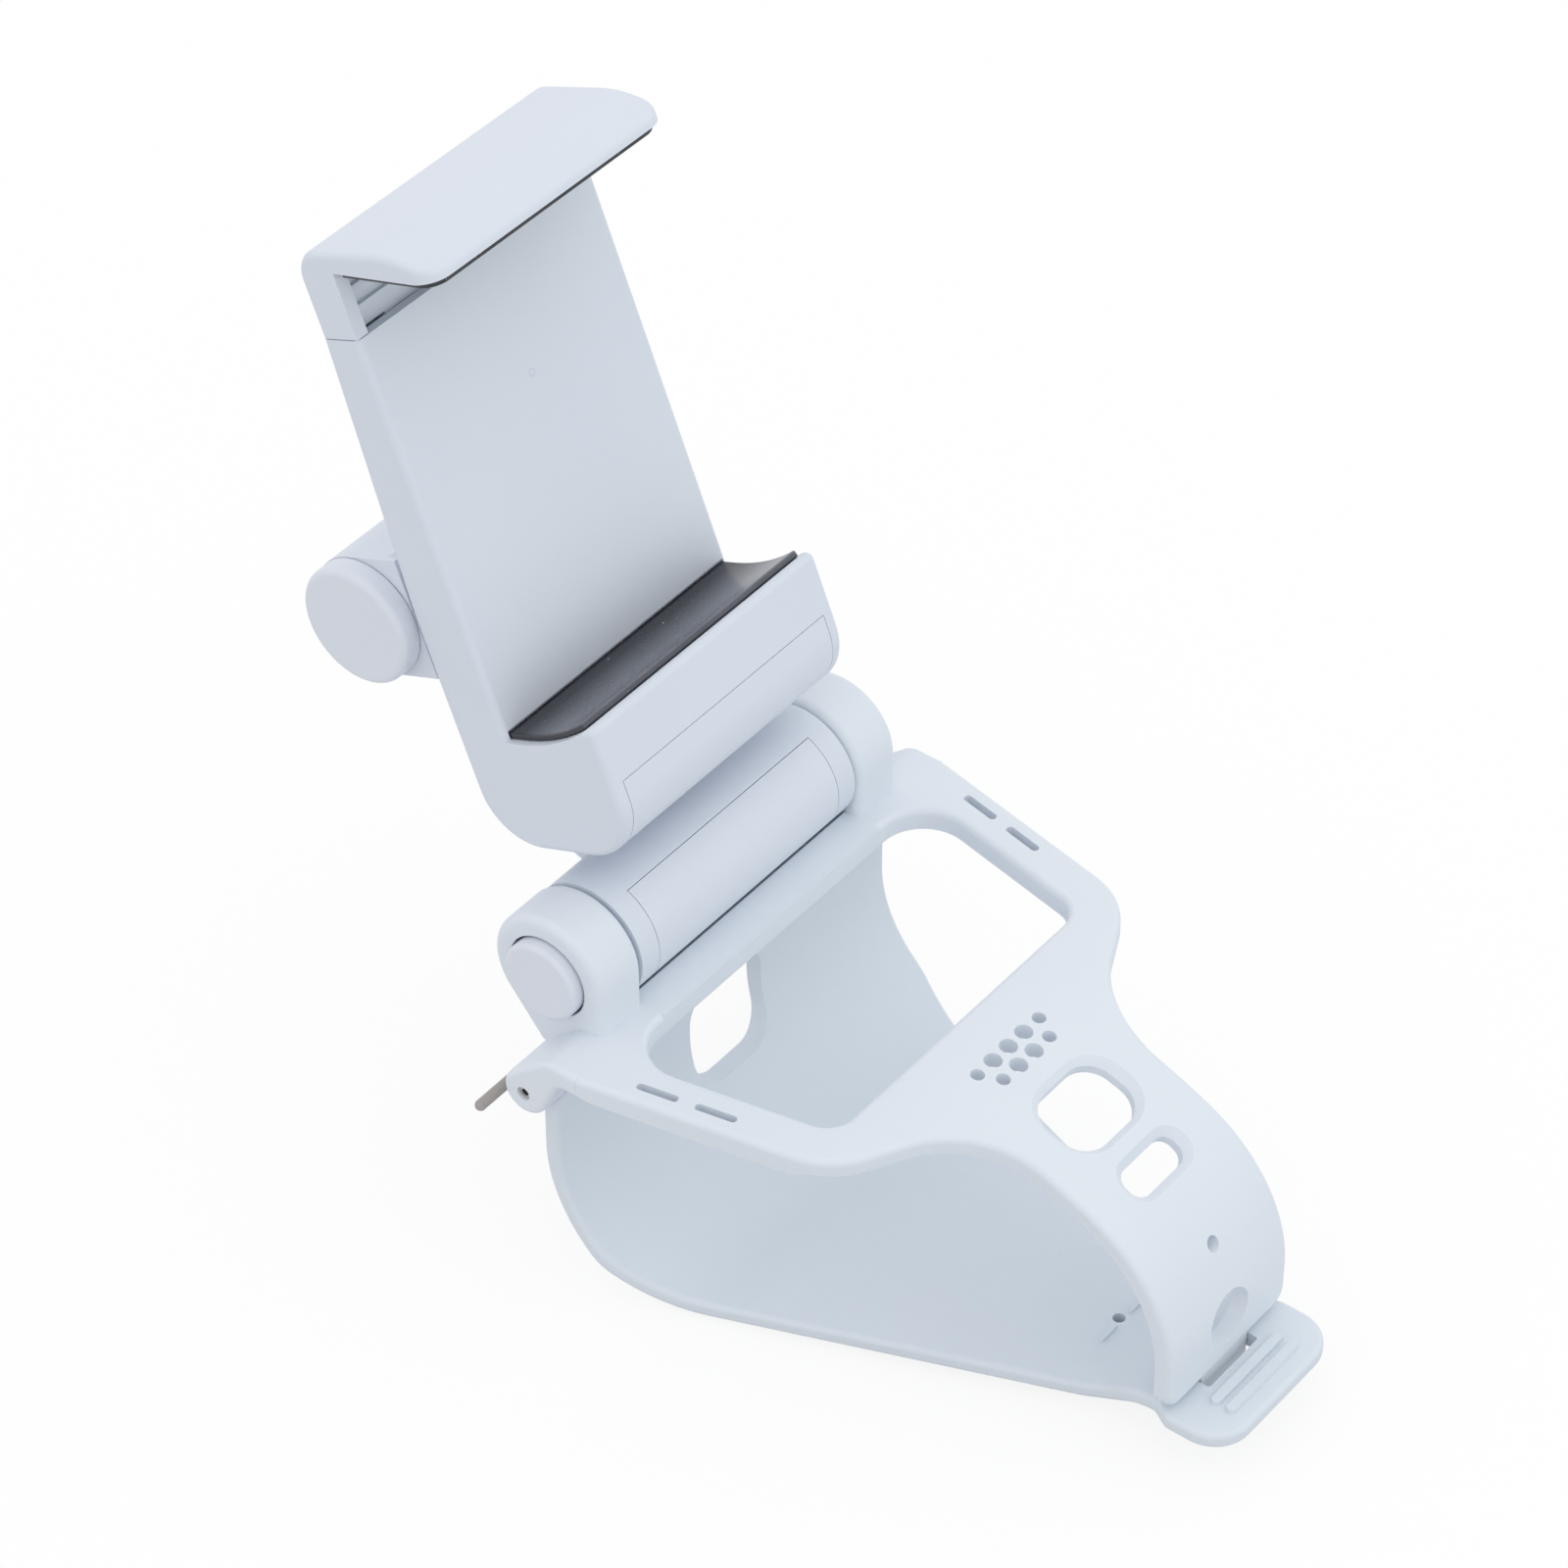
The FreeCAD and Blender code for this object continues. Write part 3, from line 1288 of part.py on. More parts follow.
def make_jaw():
    """Sliding jaw: top plate, leg flush with the plate, and two rails into the clamp."""
    jaw = body("sliding_jaw", clamp_place)
    foot = size("clamp_seam") + size("jaw_gap")
    top = size("jaw_top")
    under = top - size("jaw_plate")
    front = size("clamp_front")
    back = size("clamp_back_top")
    nose = size("jaw_front")
    root = under + size("jaw_under_rise")
    side = loop(
        (back, foot), (back, top, size("jaw_back_round")),
        (size("jaw_brow"), top, size("jaw_brow_round")), (nose, top - size("jaw_nose_drop")),
        (nose, under), (front, root), (front, foot),
    )
    pad(jaw, "YZ_Plane", side, "Sizes.clamp_half * 2", side="Symmetric")
    half = size("clamp_half")
    plan = both_sides([(half, back + 5), (half, nose, size("jaw_corner"))])
    pocket(jaw, "XY_Plane", box(-50, 50, nose - 10, back + 10) + plan, side="Symmetric")
    soften(jaw, lambda e: jaw_rim(e, top), "Sizes.clamp_edge")
    recess = box(front - 1, front + size("jaw_recess"), foot - 1, root)
    pocket(jaw, "YZ_Plane", recess, "Sizes.jaw_recess_half * 2", side="Symmetric")
    shelf = front + size("jaw_recess")
    for z in (foot + 2.2, foot + 4.8):
        rib = box(shelf - 0.7, shelf + 0.5, z, z + 0.8)
        pad(jaw, "YZ_Plane", rib, "Sizes.jaw_recess_half * 2", side="Symmetric")

    rail_back = size("rail_front") + size("rail_thick")
    low = size("rail_end")
    for sign in (-1, 1):
        inner = sign * size("rail_inner")
        outer = sign * size("rail_outer")
        rail = box(min(inner, outer), max(inner, outer), size("rail_front"), rail_back)
        pad(jaw, "XY_Plane", rail, "Sizes.clamp_seam + 1 - Sizes.rail_end",
            offset="Sizes.rail_end")
    bar = box(-size("rail_inner") - 1, size("rail_inner") + 1, size("rail_front"), rail_back)
    pad(jaw, "XY_Plane", bar, "Sizes.rail_bar", offset="Sizes.rail_end")
    middle = size("jaw_spring_x")
    notch = pocket(jaw, "XZ_Plane", box(middle - 1.6, middle + 1.6, low - 1, low + 3.4), "1.2",
                   offset=f"{-(rail_back - 1.2)}")
    peg = pad(jaw, "XZ_Plane", circle((middle, size("jaw_spring_high")), size("spring_peg")),
              "1.3", back=True, offset=f"{-(rail_back - 1.3)}")
    mirror(jaw, notch, peg)

    soft = body("jaw_pad", clamp_place)
    wall = size("pad_wall")
    outline = both_sides([
        (size("pad_half"), -0.4),
        (size("pad_half"), nose + 0.7 - front, size("jaw_corner") - 0.7),
    ])
    slope = Rotation(Vector(1, 0, 0), math.degrees(math.atan2(root - under, front - nose)))
    face = Placement(Vector(0, front, root), slope)
    pad(soft, "XY_Plane", outline, "Sizes.pad_wall",
        place=face.multiply(Placement(Vector(0, 0, -wall), Rotation())))
    return jaw, soft


def jaw_rim(edge, top):
    """True for the rims round the jaw's top plate."""
    bounds = edge.BoundBox
    return bounds.ZLength < 1e-3 and abs(bounds.ZMax - top) < 1e-3 and bounds.YMin < -16


def make_jaw_springs():
    """Two close-wound tension springs with an eye at each end."""
    springs = body("jaw_springs", clamp_place)
    springs.AllowCompound = True
    x = size("jaw_spring_x")
    y = size("jaw_spring_y")
    low = size("jaw_spring_low") + 2.0
    high = size("jaw_spring_high") - 2.0
    tube = circle((x, y), size("jaw_spring_radius")) + circle((x, y), size("jaw_spring_bore"))
    place = Placement(Vector(0, 0, low), Rotation())
    grown = [pad(springs, "XY_Plane", tube, f"{high - low}", place=place)]
    for z, end in ((size("jaw_spring_low"), low), (size("jaw_spring_high"), high)):
        eye = circle((x, z), size("spring_eye")) + circle((x, z), size("spring_eye_bore"))
        reach = size("spring_eye_bore") + 0.2
        toward = 1 if end > z else -1
        stalk = box(x - 0.3, x + 0.3, min(z + toward * reach, end + toward * 0.3),
                    max(z + toward * reach, end + toward * 0.3))
        bar = box(x - size("jaw_spring_radius") + 0.3, x + size("jaw_spring_radius") - 0.3,
                  min(end, end + toward * 0.5), max(end, end + toward * 0.5))
        for outline in (eye, stalk, bar):
            grown.append(pad(springs, "XZ_Plane", outline, "0.5", side="Symmetric",
                             offset="-(Sizes.jaw_spring_y)"))
    mirror(springs, *grown)
    return springs


pieces = [
    make_frame(), *make_pins(), make_spindle(), make_cradle(), make_bumper(),
    make_arm(), *make_arm_covers(), make_arm_screws(), *make_lock(),
    make_clamp(), make_back_cover(), make_clamp_screws(), *make_ledge_parts(),
    *make_upper_hinge(), *make_jaw(), make_jaw_springs(),
]

doc.recompute()
for item in doc.Objects:
    if "Invalid" in item.State or "Error" in item.State:
        raise ValueError(f"{item.Label} is {item.State}")
for piece in pieces:
    if piece.Shape.isNull() or not piece.Shape.isValid():
        raise ValueError(f"{piece.Label} has no valid shape")
for piece in pieces:
    piece.Shape.exportStep(f"parts/{piece.Label}.step")
    print(piece.Label, round(piece.Shape.Volume, 1), len(piece.Shape.Solids))
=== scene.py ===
# %% [markdown]
# # A phone clip for a game controller
#
# This lesson dresses a finished construction with materials, a few soft pieces,
# light and a camera. The real object is nearly all one thing: pale, cool white
# plastic with a fine satin skin. Its interest lies in small differences: a dark
# soft pad on the ledge, the thin gap lines round the covers, and the bare end of
# a rolled steel pin. So most of the work here is patient material work.

# %% Load the construction
import json
import math

import bmesh
import bpy
from mathutils import Matrix, Vector


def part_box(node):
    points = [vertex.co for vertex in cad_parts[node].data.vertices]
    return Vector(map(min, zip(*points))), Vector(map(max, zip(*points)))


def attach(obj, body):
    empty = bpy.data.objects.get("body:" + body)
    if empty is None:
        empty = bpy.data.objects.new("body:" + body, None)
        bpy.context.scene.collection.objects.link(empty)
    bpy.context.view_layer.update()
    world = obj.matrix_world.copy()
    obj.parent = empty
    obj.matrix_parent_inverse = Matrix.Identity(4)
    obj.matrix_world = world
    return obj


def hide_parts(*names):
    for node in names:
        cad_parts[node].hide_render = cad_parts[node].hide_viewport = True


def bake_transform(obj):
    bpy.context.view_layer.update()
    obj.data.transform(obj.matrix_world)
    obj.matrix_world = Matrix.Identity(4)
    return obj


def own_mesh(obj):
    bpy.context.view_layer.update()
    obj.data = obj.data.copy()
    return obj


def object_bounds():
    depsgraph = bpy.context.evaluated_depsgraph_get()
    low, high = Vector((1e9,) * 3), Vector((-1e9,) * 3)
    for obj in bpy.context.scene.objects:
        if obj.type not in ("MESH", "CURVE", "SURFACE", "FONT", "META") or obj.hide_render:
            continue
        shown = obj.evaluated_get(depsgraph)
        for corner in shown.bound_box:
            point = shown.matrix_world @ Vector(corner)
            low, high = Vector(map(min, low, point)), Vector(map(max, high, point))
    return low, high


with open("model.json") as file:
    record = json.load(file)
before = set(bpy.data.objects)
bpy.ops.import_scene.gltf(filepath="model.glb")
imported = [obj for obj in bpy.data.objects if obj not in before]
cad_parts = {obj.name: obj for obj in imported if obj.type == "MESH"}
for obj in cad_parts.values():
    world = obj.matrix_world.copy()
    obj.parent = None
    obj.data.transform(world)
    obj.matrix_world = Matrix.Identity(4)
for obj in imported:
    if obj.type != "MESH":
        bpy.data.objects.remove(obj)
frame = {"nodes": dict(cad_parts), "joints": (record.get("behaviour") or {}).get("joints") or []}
cad_low, cad_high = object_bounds()
nodes = frame["nodes"]
MM = 0.001
print("pieces in the construction:", len(nodes))
print("size in mm:", [round((high - low) / MM, 1) for low, high in zip(cad_low, cad_high)])

# %% [markdown]
# ## Writing shader maths as sums
#
# A material is a network of small nodes. Wiring them one by one hides the idea,
# so this cell wraps an output socket in a small class. Adding or multiplying two
# wrapped sockets then adds the Math node by itself, and one method adds any
# other node. The alternative, a node group for each pattern, would be harder to
# read and to change.

# %% A socket that can be added and multiplied


class Wire:
    """An output socket that takes part in sums and products."""

    def __init__(self, shader, socket):
        self.shader = shader
        self.socket = socket

    def maths(self, kind, other, turned=False):
        """Add a Math node for this socket and another socket or number."""
        pair = (other, self) if turned else (self, other)
        made = self.shader.node("ShaderNodeMath", {"operation": kind}, {0: pair[0], 1: pair[1]})
        return made.out("Value")

    def __add__(self, other):
        return self.maths("ADD", other)

    def __radd__(self, other):
        return self.maths("ADD", other, True)

    def __sub__(self, other):
        return self.maths("SUBTRACT", other)

    def __rsub__(self, other):
        return self.maths("SUBTRACT", other, True)

    def __mul__(self, other):
        return self.maths("MULTIPLY", other)

    def __rmul__(self, other):
        return self.maths("MULTIPLY", other, True)

    def __gt__(self, other):
        return self.maths("GREATER_THAN", other)

    def __lt__(self, other):
        return self.maths("LESS_THAN", other)


class Placed:
    """A node that has been placed, with its outputs by name or number."""

    def __init__(self, shader, node):
        self.shader = shader
        self.node = node

    def out(self, name):
        return Wire(self.shader, self.node.outputs[name])


class Shader:
    """The network of one material, or of the world."""

    def __init__(self, name, holder=None):
        self.material = holder or bpy.data.materials.new(name)
        self.material.use_nodes = True
        self.tree = self.material.node_tree
        self.tree.nodes.clear()

    def node(self, kind, settings=None, sockets=None):
        """Place a node, with its settings first and then the values or links of its sockets."""
        placed = self.tree.nodes.new(kind)
        for name, value in (settings or {}).items():
            setattr(placed, name, value)
        for name, value in (sockets or {}).items():
            target = placed.inputs[name]
            if isinstance(value, Wire):
                self.tree.links.new(value.socket, target)
            else:
                target.default_value = value
        return Placed(self, placed)

    def place(self):
        """The point on the object, in metres."""
        return self.node("ShaderNodeTexCoord").out("Object")

    def noise(self, scale, detail=3.0, rough=0.5):
        sockets = {"Vector": self.place(), "Scale": scale, "Detail": detail, "Roughness": rough}
        return self.node("ShaderNodeTexNoise", None, sockets).out("Fac")

    def stretched(self, scale, amounts, detail=3.0):
        """Noise that is drawn out by different amounts along X, Y and Z."""
        moved = self.node("ShaderNodeMapping", None,
                          {"Vector": self.place(), "Scale": amounts}).out("Vector")
        sockets = {"Vector": moved, "Scale": scale, "Detail": detail}
        return self.node("ShaderNodeTexNoise", None, sockets).out("Fac")

    def specks(self, spacing, width, share):
        """Dots of one width in metres, in a share of the cells of one spacing, as a mask."""
        cell = self.node("ShaderNodeTexVoronoi", {"feature": "F1"},
                         {"Vector": self.place(), "Scale": 1 / spacing})
        near = cell.out("Distance") < width / 2 / spacing
        picked = self.node("ShaderNodeSeparateColor", None, {0: cell.out("Color")}).out("Red")
        return near * (picked > 1.0 - share)

    def ring(self, centre, radius, width):
        """A thin soft ring round a point, as a mask."""
        apart = self.node("ShaderNodeVectorMath", {"operation": "DISTANCE"},
                          {0: self.place(), 1: centre}).out("Value")
        off_line = (apart - radius).maths("ABSOLUTE", 0.0)
        return (1.0 - off_line * (1 / width)).maths("MAXIMUM", 0.0)

    def dot(self, vector, direction):
        return self.node("ShaderNodeVectorMath", {"operation": "DOT_PRODUCT"},
                         {0: vector, 1: direction}).out("Value")

    def facing(self, direction):
        """How squarely the skin faces a direction, as a mask."""
        normal = self.node("ShaderNodeTexCoord").out("Normal")
        return self.dot(normal, direction).maths("MAXIMUM", 0.0)

    def beyond(self, start, direction, length):
        """Zero up to a point, then rising to one over a length, as a mask."""
        travelled = self.dot(self.place(), direction) - start.dot(direction)
        rising = (travelled * (1 / length)).maths("MAXIMUM", 0.0)
        return rising.maths("MINIMUM", 1.0)

    def between(self, factor, first, second):
        """A mix of two colours. Sockets 6 and 7, and output 2, are the colour ones."""
        sockets = {0: factor, 6: first, 7: second}
        return self.node("ShaderNodeMix", {"data_type": "RGBA"}, sockets).out(2)

    def bump(self, height, strength, distance):
        sockets = {"Height": height, "Strength": strength, "Distance": distance}
        return self.node("ShaderNodeBump", None, sockets).out("Normal")

    def surface(self, **sockets):
        named = {name.replace("_", " "): value for name, value in sockets.items()}
        skin = self.node("ShaderNodeBsdfPrincipled", None, named).out("BSDF")
        self.node("ShaderNodeOutputMaterial", None, {"Surface": skin})
        return self.material


def srgb(red, green, blue):
    """A colour as read off a screen, for a shader's socket."""
    linear = []
    for value in (red, green, blue):
        part = value / 255
        linear.append(part / 12.92 if part < 0.04045 else ((part + 0.055) / 1.055) ** 2.4)
    return (*linear, 1.0)


def shifted(shade, steps):
    """A screen colour moved by some steps of 255, for a shader's socket."""
    return srgb(*(min(value + step, 255) for value, step in zip(shade, steps)))


print("shader helper ready; mid grey reads", round(srgb(128, 128, 128)[0], 3))

# %% [markdown]
# ## The white plastic
#
# The shell pieces are moulded in one cool white. A moulded skin is never one
# flat colour: the melt flows a little cloudy, the polished or spark-eroded mould
# leaves a grain a few tenths of a millimetre wide, and dust settles as rare
# specks. Where the melt entered the mould, a tiny ring stays, as on the clamp's
# plate. One recipe makes all of it, and each family of pieces gets its own
# shade and grain, because covers and buttons come out of other moulds.

# %% White plastic, in one recipe
# A scale says how often a pattern repeats in a metre, so clouds are 26 mm wide.
cloud_scale = 38.0
mottle_scale = 420.0
grain_scale = 3200.0
grain_depth = 0.03 * MM
dust_spacing, dust_width, dust_share = 1.2 * MM, 0.15 * MM, 0.06
gate_radius, gate_width = 0.45 * MM, 0.12 * MM


def moulded(name, shade, roughness, grain, flow=(1.0, 1.0, 1.0), marks=()):
    """Pale moulded plastic with cloudiness, grain, rare specks and gate marks."""
    shader = Shader(name)
    cloud = shader.stretched(cloud_scale, flow, 2.0)
    mottle = shader.noise(mottle_scale, 4.0, 0.6)
    fine = shader.noise(grain_scale, 2.0, 0.5)
    dust = shader.specks(dust_spacing, dust_width, dust_share)
    deep = shifted(shade, (-5, -4, -3))
    bright = shifted(shade, (3, 3, 3))
    body = shader.between(cloud * 0.7 + mottle * 0.3, deep, bright)
    body = shader.between(dust * 0.35, body, shifted(shade, (-60, -58, -56)))
    for spot in marks:
        ring = shader.ring(spot, gate_radius, gate_width)
        body = shader.between(ring * 0.5, body, shifted(shade, (-50, -46, -42)))
    skin = shader.bump(fine * 0.7 + mottle * 0.3, grain, grain_depth)
    return shader.surface(
        Base_Color=body,
        Roughness=mottle * 0.10 + (roughness - 0.05),
        IOR=1.5,
        Normal=skin,
    )


print("plastic patterns repeat per metre:", cloud_scale, mottle_scale, grain_scale)

# %% The clip's white plastics
joints = {joint["name"]: joint for joint in frame["joints"]}
clamp_hinge = Vector(joints["clamp_tilt"]["pos_m"])
clamp_lean = math.radians(-22.0)
into_clamp = Matrix.Translation(clamp_hinge) @ Matrix.Rotation(clamp_lean, 4, "X")
plate_gate = into_clamp @ (Vector((1.92, -17.8, 22.74)) * MM)

# The melt draws its clouds out along one axis: a number below one stretches them.
flow_sideways = (0.5, 1.0, 1.0)
flow_forwards = (1.0, 0.5, 1.0)
flow_up = (1.0, 1.0, 0.5)
flow_in_cradle = (0.6, 1.0, 1.0)

plastics = {
    "frame": moulded("frame_white", (225, 231, 239), 0.46, 0.5, flow_forwards),
    "cradle": moulded("cradle_white", (221, 228, 236), 0.50, 0.6, flow_in_cradle),
    "arm": moulded("arm_white", (219, 225, 235), 0.44, 0.45),
    "clamp": moulded("clamp_white", (220, 226, 236), 0.46, 0.5, flow_up, [plate_gate]),
    "cover": moulded("cover_white", (221, 226, 236), 0.42, 0.4, flow_sideways),
    "cap": moulded("cap_white", (222, 227, 236), 0.40, 0.4),
    "lock": moulded("lock_white", (224, 227, 233), 0.38, 0.35),
}
print("white plastics:", ", ".join(plastics))

# %% [markdown]
# ## Steel, nylon and rubber
#
# The hinge pins are rolled from spring strip, so their skin has lines along the
# pin. Screws, bolt and nut are zinc plated, with a faint bloom. Washers are dark
# nylon. Rubber is dark, a little uneven and picks up lint, which the photograph
# shows as bright specks on the ledge's pad. Toward the ledge's lip the pad's top
# is painted a lighter grey, a painted reflection, while its cut edges stay nearly
# black. So the painted reflection is masked twice: by the way across the ledge,
# and by facing off it.

# %% Steel and rubber, as recipes
line_scale = 1600.0
bloom_scale = 240.0
line_depth = 0.02 * MM
rubber_patch_scale = 90.0
rubber_grain_scale = 1500.0
painted_reflection_width = 8 * MM
# The lighter grey of the pad's painted reflection.
reflection_grey = srgb(136, 139, 150)
lint_white = srgb(205, 208, 212)
lint_spacing, lint_width = 0.9 * MM, 0.13 * MM
fluff_spacing, fluff_width = 3.1 * MM, 0.3 * MM


def drawn_steel(name, shade, roughness, lines):
    """Steel with fine lines along one direction and a faint bloom."""
    shader = Shader(name)
    drawn = shader.stretched(line_scale, lines, 3.0)
    bloom = shader.noise(bloom_scale, 3.0, 0.6)
    dull = shifted(shade, (-22, -22, -20))
    body = shader.between(drawn * 0.6 + bloom * 0.4, dull, srgb(*shade))
    return shader.surface(
        Base_Color=body,
        Metallic=1.0,
        Roughness=drawn * 0.16 + bloom * 0.08 + roughness,
        Normal=shader.bump(drawn, 0.25, line_depth),
    )


def rubber(name, shade, worn, roughness, lint, painted_reflection=None):
    """Soft rubber with an uneven sheen, lint, and a painted reflection toward the lip if given.
    """
    shader = Shader(name)
    patch = shader.noise(rubber_patch_scale, 3.0, 0.55)
    grain = shader.noise(rubber_grain_scale, 3.0, 0.6)
    fluff = shader.specks(lint_spacing, lint_width, lint)
    fluff = fluff + shader.specks(fluff_spacing, fluff_width, lint)
    body = shader.between(patch * 0.8 + grain * 0.2, srgb(*shade), srgb(*worn))
    if painted_reflection is not None:
        # Painted reflection: the pad's top turns a lighter grey toward the lip.
        start, direction, outward = painted_reflection
        bloom = shader.beyond(start, direction, painted_reflection_width) * shader.facing(outward)
        body = shader.between(bloom * (patch * 0.7 + 0.4), body, reflection_grey)
    body = shader.between(fluff * 0.8, body, lint_white)
    return shader.surface(
        Base_Color=body,
        Roughness=patch * 0.14 + grain * 0.06 + roughness,
        Normal=shader.bump(grain, 0.35, grain_depth),
    )


print("steel lines are", round(1 / line_scale / MM, 2), "mm apart")

# %% The clip's metals, nylon and rubbers
drawn_along_x = (0.05, 1.0, 1.0)
drawn_along_z = (1.0, 1.0, 0.3)
steel = drawn_steel("rolled_steel", (208, 206, 204), 0.28, drawn_along_x)
zinc = drawn_steel("zinc_plate", (190, 192, 196), 0.28, drawn_along_z)
clamp_turn = into_clamp.to_3x3()
# Where the pad's painted reflection starts, rising toward the lip on faces off the ledge.
reflection_start = into_clamp @ (Vector((0, -20.0, -16.0)) * MM)
to_lip = clamp_turn @ Vector((0, -1, 0))
off_ledge = clamp_turn @ Vector((0, 0, 1))
pad_rubber = rubber("pad_rubber", (26, 28, 36), (50, 53, 62), 0.18, 0.3,
                    (reflection_start, to_lip, off_ledge))
bumper_rubber = rubber("bumper_rubber", (158, 152, 148), (176, 171, 168), 0.52, 0.02)
nylon = rubber("dark_nylon", (40, 41, 43), (54, 55, 57), 0.40, 0.01)
print("metals:", steel.name, zinc.name, "| dark:", pad_rubber.name, nylon.name)

# %% [markdown]
# ## Dressing the construction
#
# Each construction piece keeps its shape and only gets a finish. A table from
# piece to finish is easier to check than a chain of conditions, and the count at
# the end shows that none was left out.

# %% A finish for every piece
finishes = {
    plastics["frame"]: ["controller_frame"],
    plastics["cradle"]: ["cradle_shell"],
    plastics["arm"]: ["arm_housing", "hinge_spindle"],
    plastics["clamp"]: ["clamp_housing", "clamp_back_cover", "sliding_jaw"],
    plastics["cover"]: ["barrel_cover", "arm_cover", "ledge_cover"],
    plastics["cap"]: ["hinge_cap_left", "hinge_cap_right", "push_button"],
    plastics["lock"]: ["lock_ring"],
    steel: ["cradle_pin_left", "cradle_pin_right", "button_spring", "jaw_springs"],
    zinc: ["arm_screws", "clamp_screws", "hinge_bolt", "hinge_nut"],
    nylon: ["friction_washers"],
    pad_rubber: ["ledge_pad", "jaw_pad"],
    bumper_rubber: ["rear_bumper"],
}
dressed = set()
for finish, names in finishes.items():
    for name in names:
        nodes[name].data.materials.clear()
        nodes[name].data.materials.append(finish)
        dressed.add(name)
print("dressed:", len(dressed), "left out:", sorted(set(nodes) - dressed))

# %% [markdown]
# ## Turning a mesh into a piece
#
# The new pieces below are built in their maker's position, lying flat or along
# an axis, and then moved to their place in the clip once. Every piece ends with
# its object at the origin and its place in its mesh. The clamp leans back by 22
# degrees about its hinge, so the matrix that put the gate mark on its plate also
# carries flat work into the clamp.

# %% Place a finished mesh in the clip


def finish_piece(name, shape, finish, body, stands_for, place=None, smooth=True):
    """Make a mesh a piece of the clip that moves with a body, or with none if it is None."""
    if place is not None:
        bmesh.ops.transform(shape, matrix=place, verts=shape.verts)
    bmesh.ops.recalc_face_normals(shape, faces=shape.faces)
    for face in shape.faces:
        face.smooth = smooth
    mesh = bpy.data.meshes.new(name)
    shape.to_mesh(mesh)
    shape.free()
    piece = bpy.data.objects.new(name, mesh)
    bpy.context.scene.collection.objects.link(piece)
    mesh.materials.append(finish)
    if body is not None:
        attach(piece, body)
    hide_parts(stands_for)
    print(name, "has", len(mesh.polygons), "faces")
    return piece


print("clamp hinge at", [round(value / MM, 2) for value in clamp_hinge])

# %% [markdown]
# ## The ledge's pad
#
# A strip of dark rubber, one millimetre thick, lies on the ledge and curls up
# its lip, so the phone's edge can't slip off. It is cut from sheet, so it is a
# sheet here too: one edge across the clamp is spun round the lip's long curve
# and pulled back to the plate, and then gets its thickness and soft edges.

# %% Ledge pad as a thin sheet
pad_half = 21.4 * MM
pad_wall = 0.95 * MM
pad_back = -17.5 * MM
floor_top = -16.45 * MM
curve_start = -19.7 * MM
curve_radius = 27.95 * MM
curve_turn = math.radians(26.0)

strip = bmesh.new()
ends = [strip.verts.new((x, curve_start, floor_top)) for x in (-pad_half, pad_half)]
first = strip.edges.new(ends)
bmesh.ops.spin(
    strip, geom=[first, *ends], cent=(0, curve_start, floor_top + curve_radius),
    axis=(-1, 0, 0), angle=curve_turn, steps=16,
)
pulled = bmesh.ops.extrude_edge_only(strip, edges=[first])["geom"]
moved = [item for item in pulled if isinstance(item, bmesh.types.BMVert)]
bmesh.ops.translate(strip, vec=(0, pad_back - curve_start, 0), verts=moved)
bmesh.ops.recalc_face_normals(strip, faces=strip.faces)
if sum(face.normal.z for face in strip.faces) < 0:
    bmesh.ops.reverse_faces(strip, faces=strip.faces)
print("ledge pad is cut from", len(strip.faces), "faces")

# %% Ledge pad's thickness and soft edges
pad_edge = 0.22 * MM
sharp_angle = 1.0  # in radians, so a right-angled corner is sharp
bmesh.ops.solidify(strip, geom=strip.faces[:], thickness=-pad_wall)
sharp = [
    edge for edge in strip.edges if edge.is_manifold and edge.calc_face_angle() > sharp_angle
]
bmesh.ops.bevel(
    strip, geom=sharp, offset=pad_edge, offset_type="OFFSET", segments=2, profile=0.5,
    affect="EDGES", material=-1,
)
finish_piece("ledge_pad_soft", strip, pad_rubber, "clamp", "ledge_pad",
             into_clamp, smooth=False)

# %% [markdown]
# ## The jaw's pad
#
# The pad under the sliding jaw is punched from the same sheet, with its front
# corners rounded to follow the jaw. A flat grid of one face is enough: its two
# front corners are bevelled as vertices, then the face is given its thickness.
# The jaw's underside drops a little toward its nose, and the pad tilts with it.

# %% Jaw pad
jaw_root = Vector((0, -17.8, 49.4)) * MM
jaw_slope = math.atan2(1.2, 16.6)
sheet_front = -15.9 * MM
sheet_back = -0.4 * MM
sheet_middle = (sheet_back + sheet_front) / 2
sheet_wall = 0.98 * MM
sheet_corner = 2.7 * MM
sheet_edge = 0.2 * MM

punched = bmesh.new()
bmesh.ops.create_grid(punched, x_segments=1, y_segments=1, size=0.5)
bmesh.ops.scale(punched, vec=(2 * pad_half, sheet_back - sheet_front, 1), verts=punched.verts)
bmesh.ops.translate(punched, vec=(0, sheet_middle, -sheet_wall), verts=punched.verts)
corners = [vert for vert in punched.verts if vert.co.y < sheet_middle]
bmesh.ops.bevel(
    punched, geom=corners, offset=sheet_corner, offset_type="OFFSET", segments=10, profile=0.5,
    affect="VERTICES", material=-1,
)
raised = bmesh.ops.extrude_face_region(punched, geom=punched.faces[:])["geom"]
lifted = [item for item in raised if isinstance(item, bmesh.types.BMVert)]
bmesh.ops.translate(punched, vec=(0, 0, sheet_wall), verts=lifted)
rims = [
    edge for edge in punched.edges if edge.is_manifold and edge.calc_face_angle() > sharp_angle
]
bmesh.ops.bevel(
    punched, geom=rims, offset=sheet_edge, offset_type="OFFSET", segments=2, profile=0.5,
    affect="EDGES", material=-1,
)
under_jaw = into_clamp @ Matrix.Translation(jaw_root) @ Matrix.Rotation(jaw_slope, 4, "X")
finish_piece("jaw_pad_soft", punched, pad_rubber, "jaw", "jaw_pad",
             under_jaw, smooth=False)

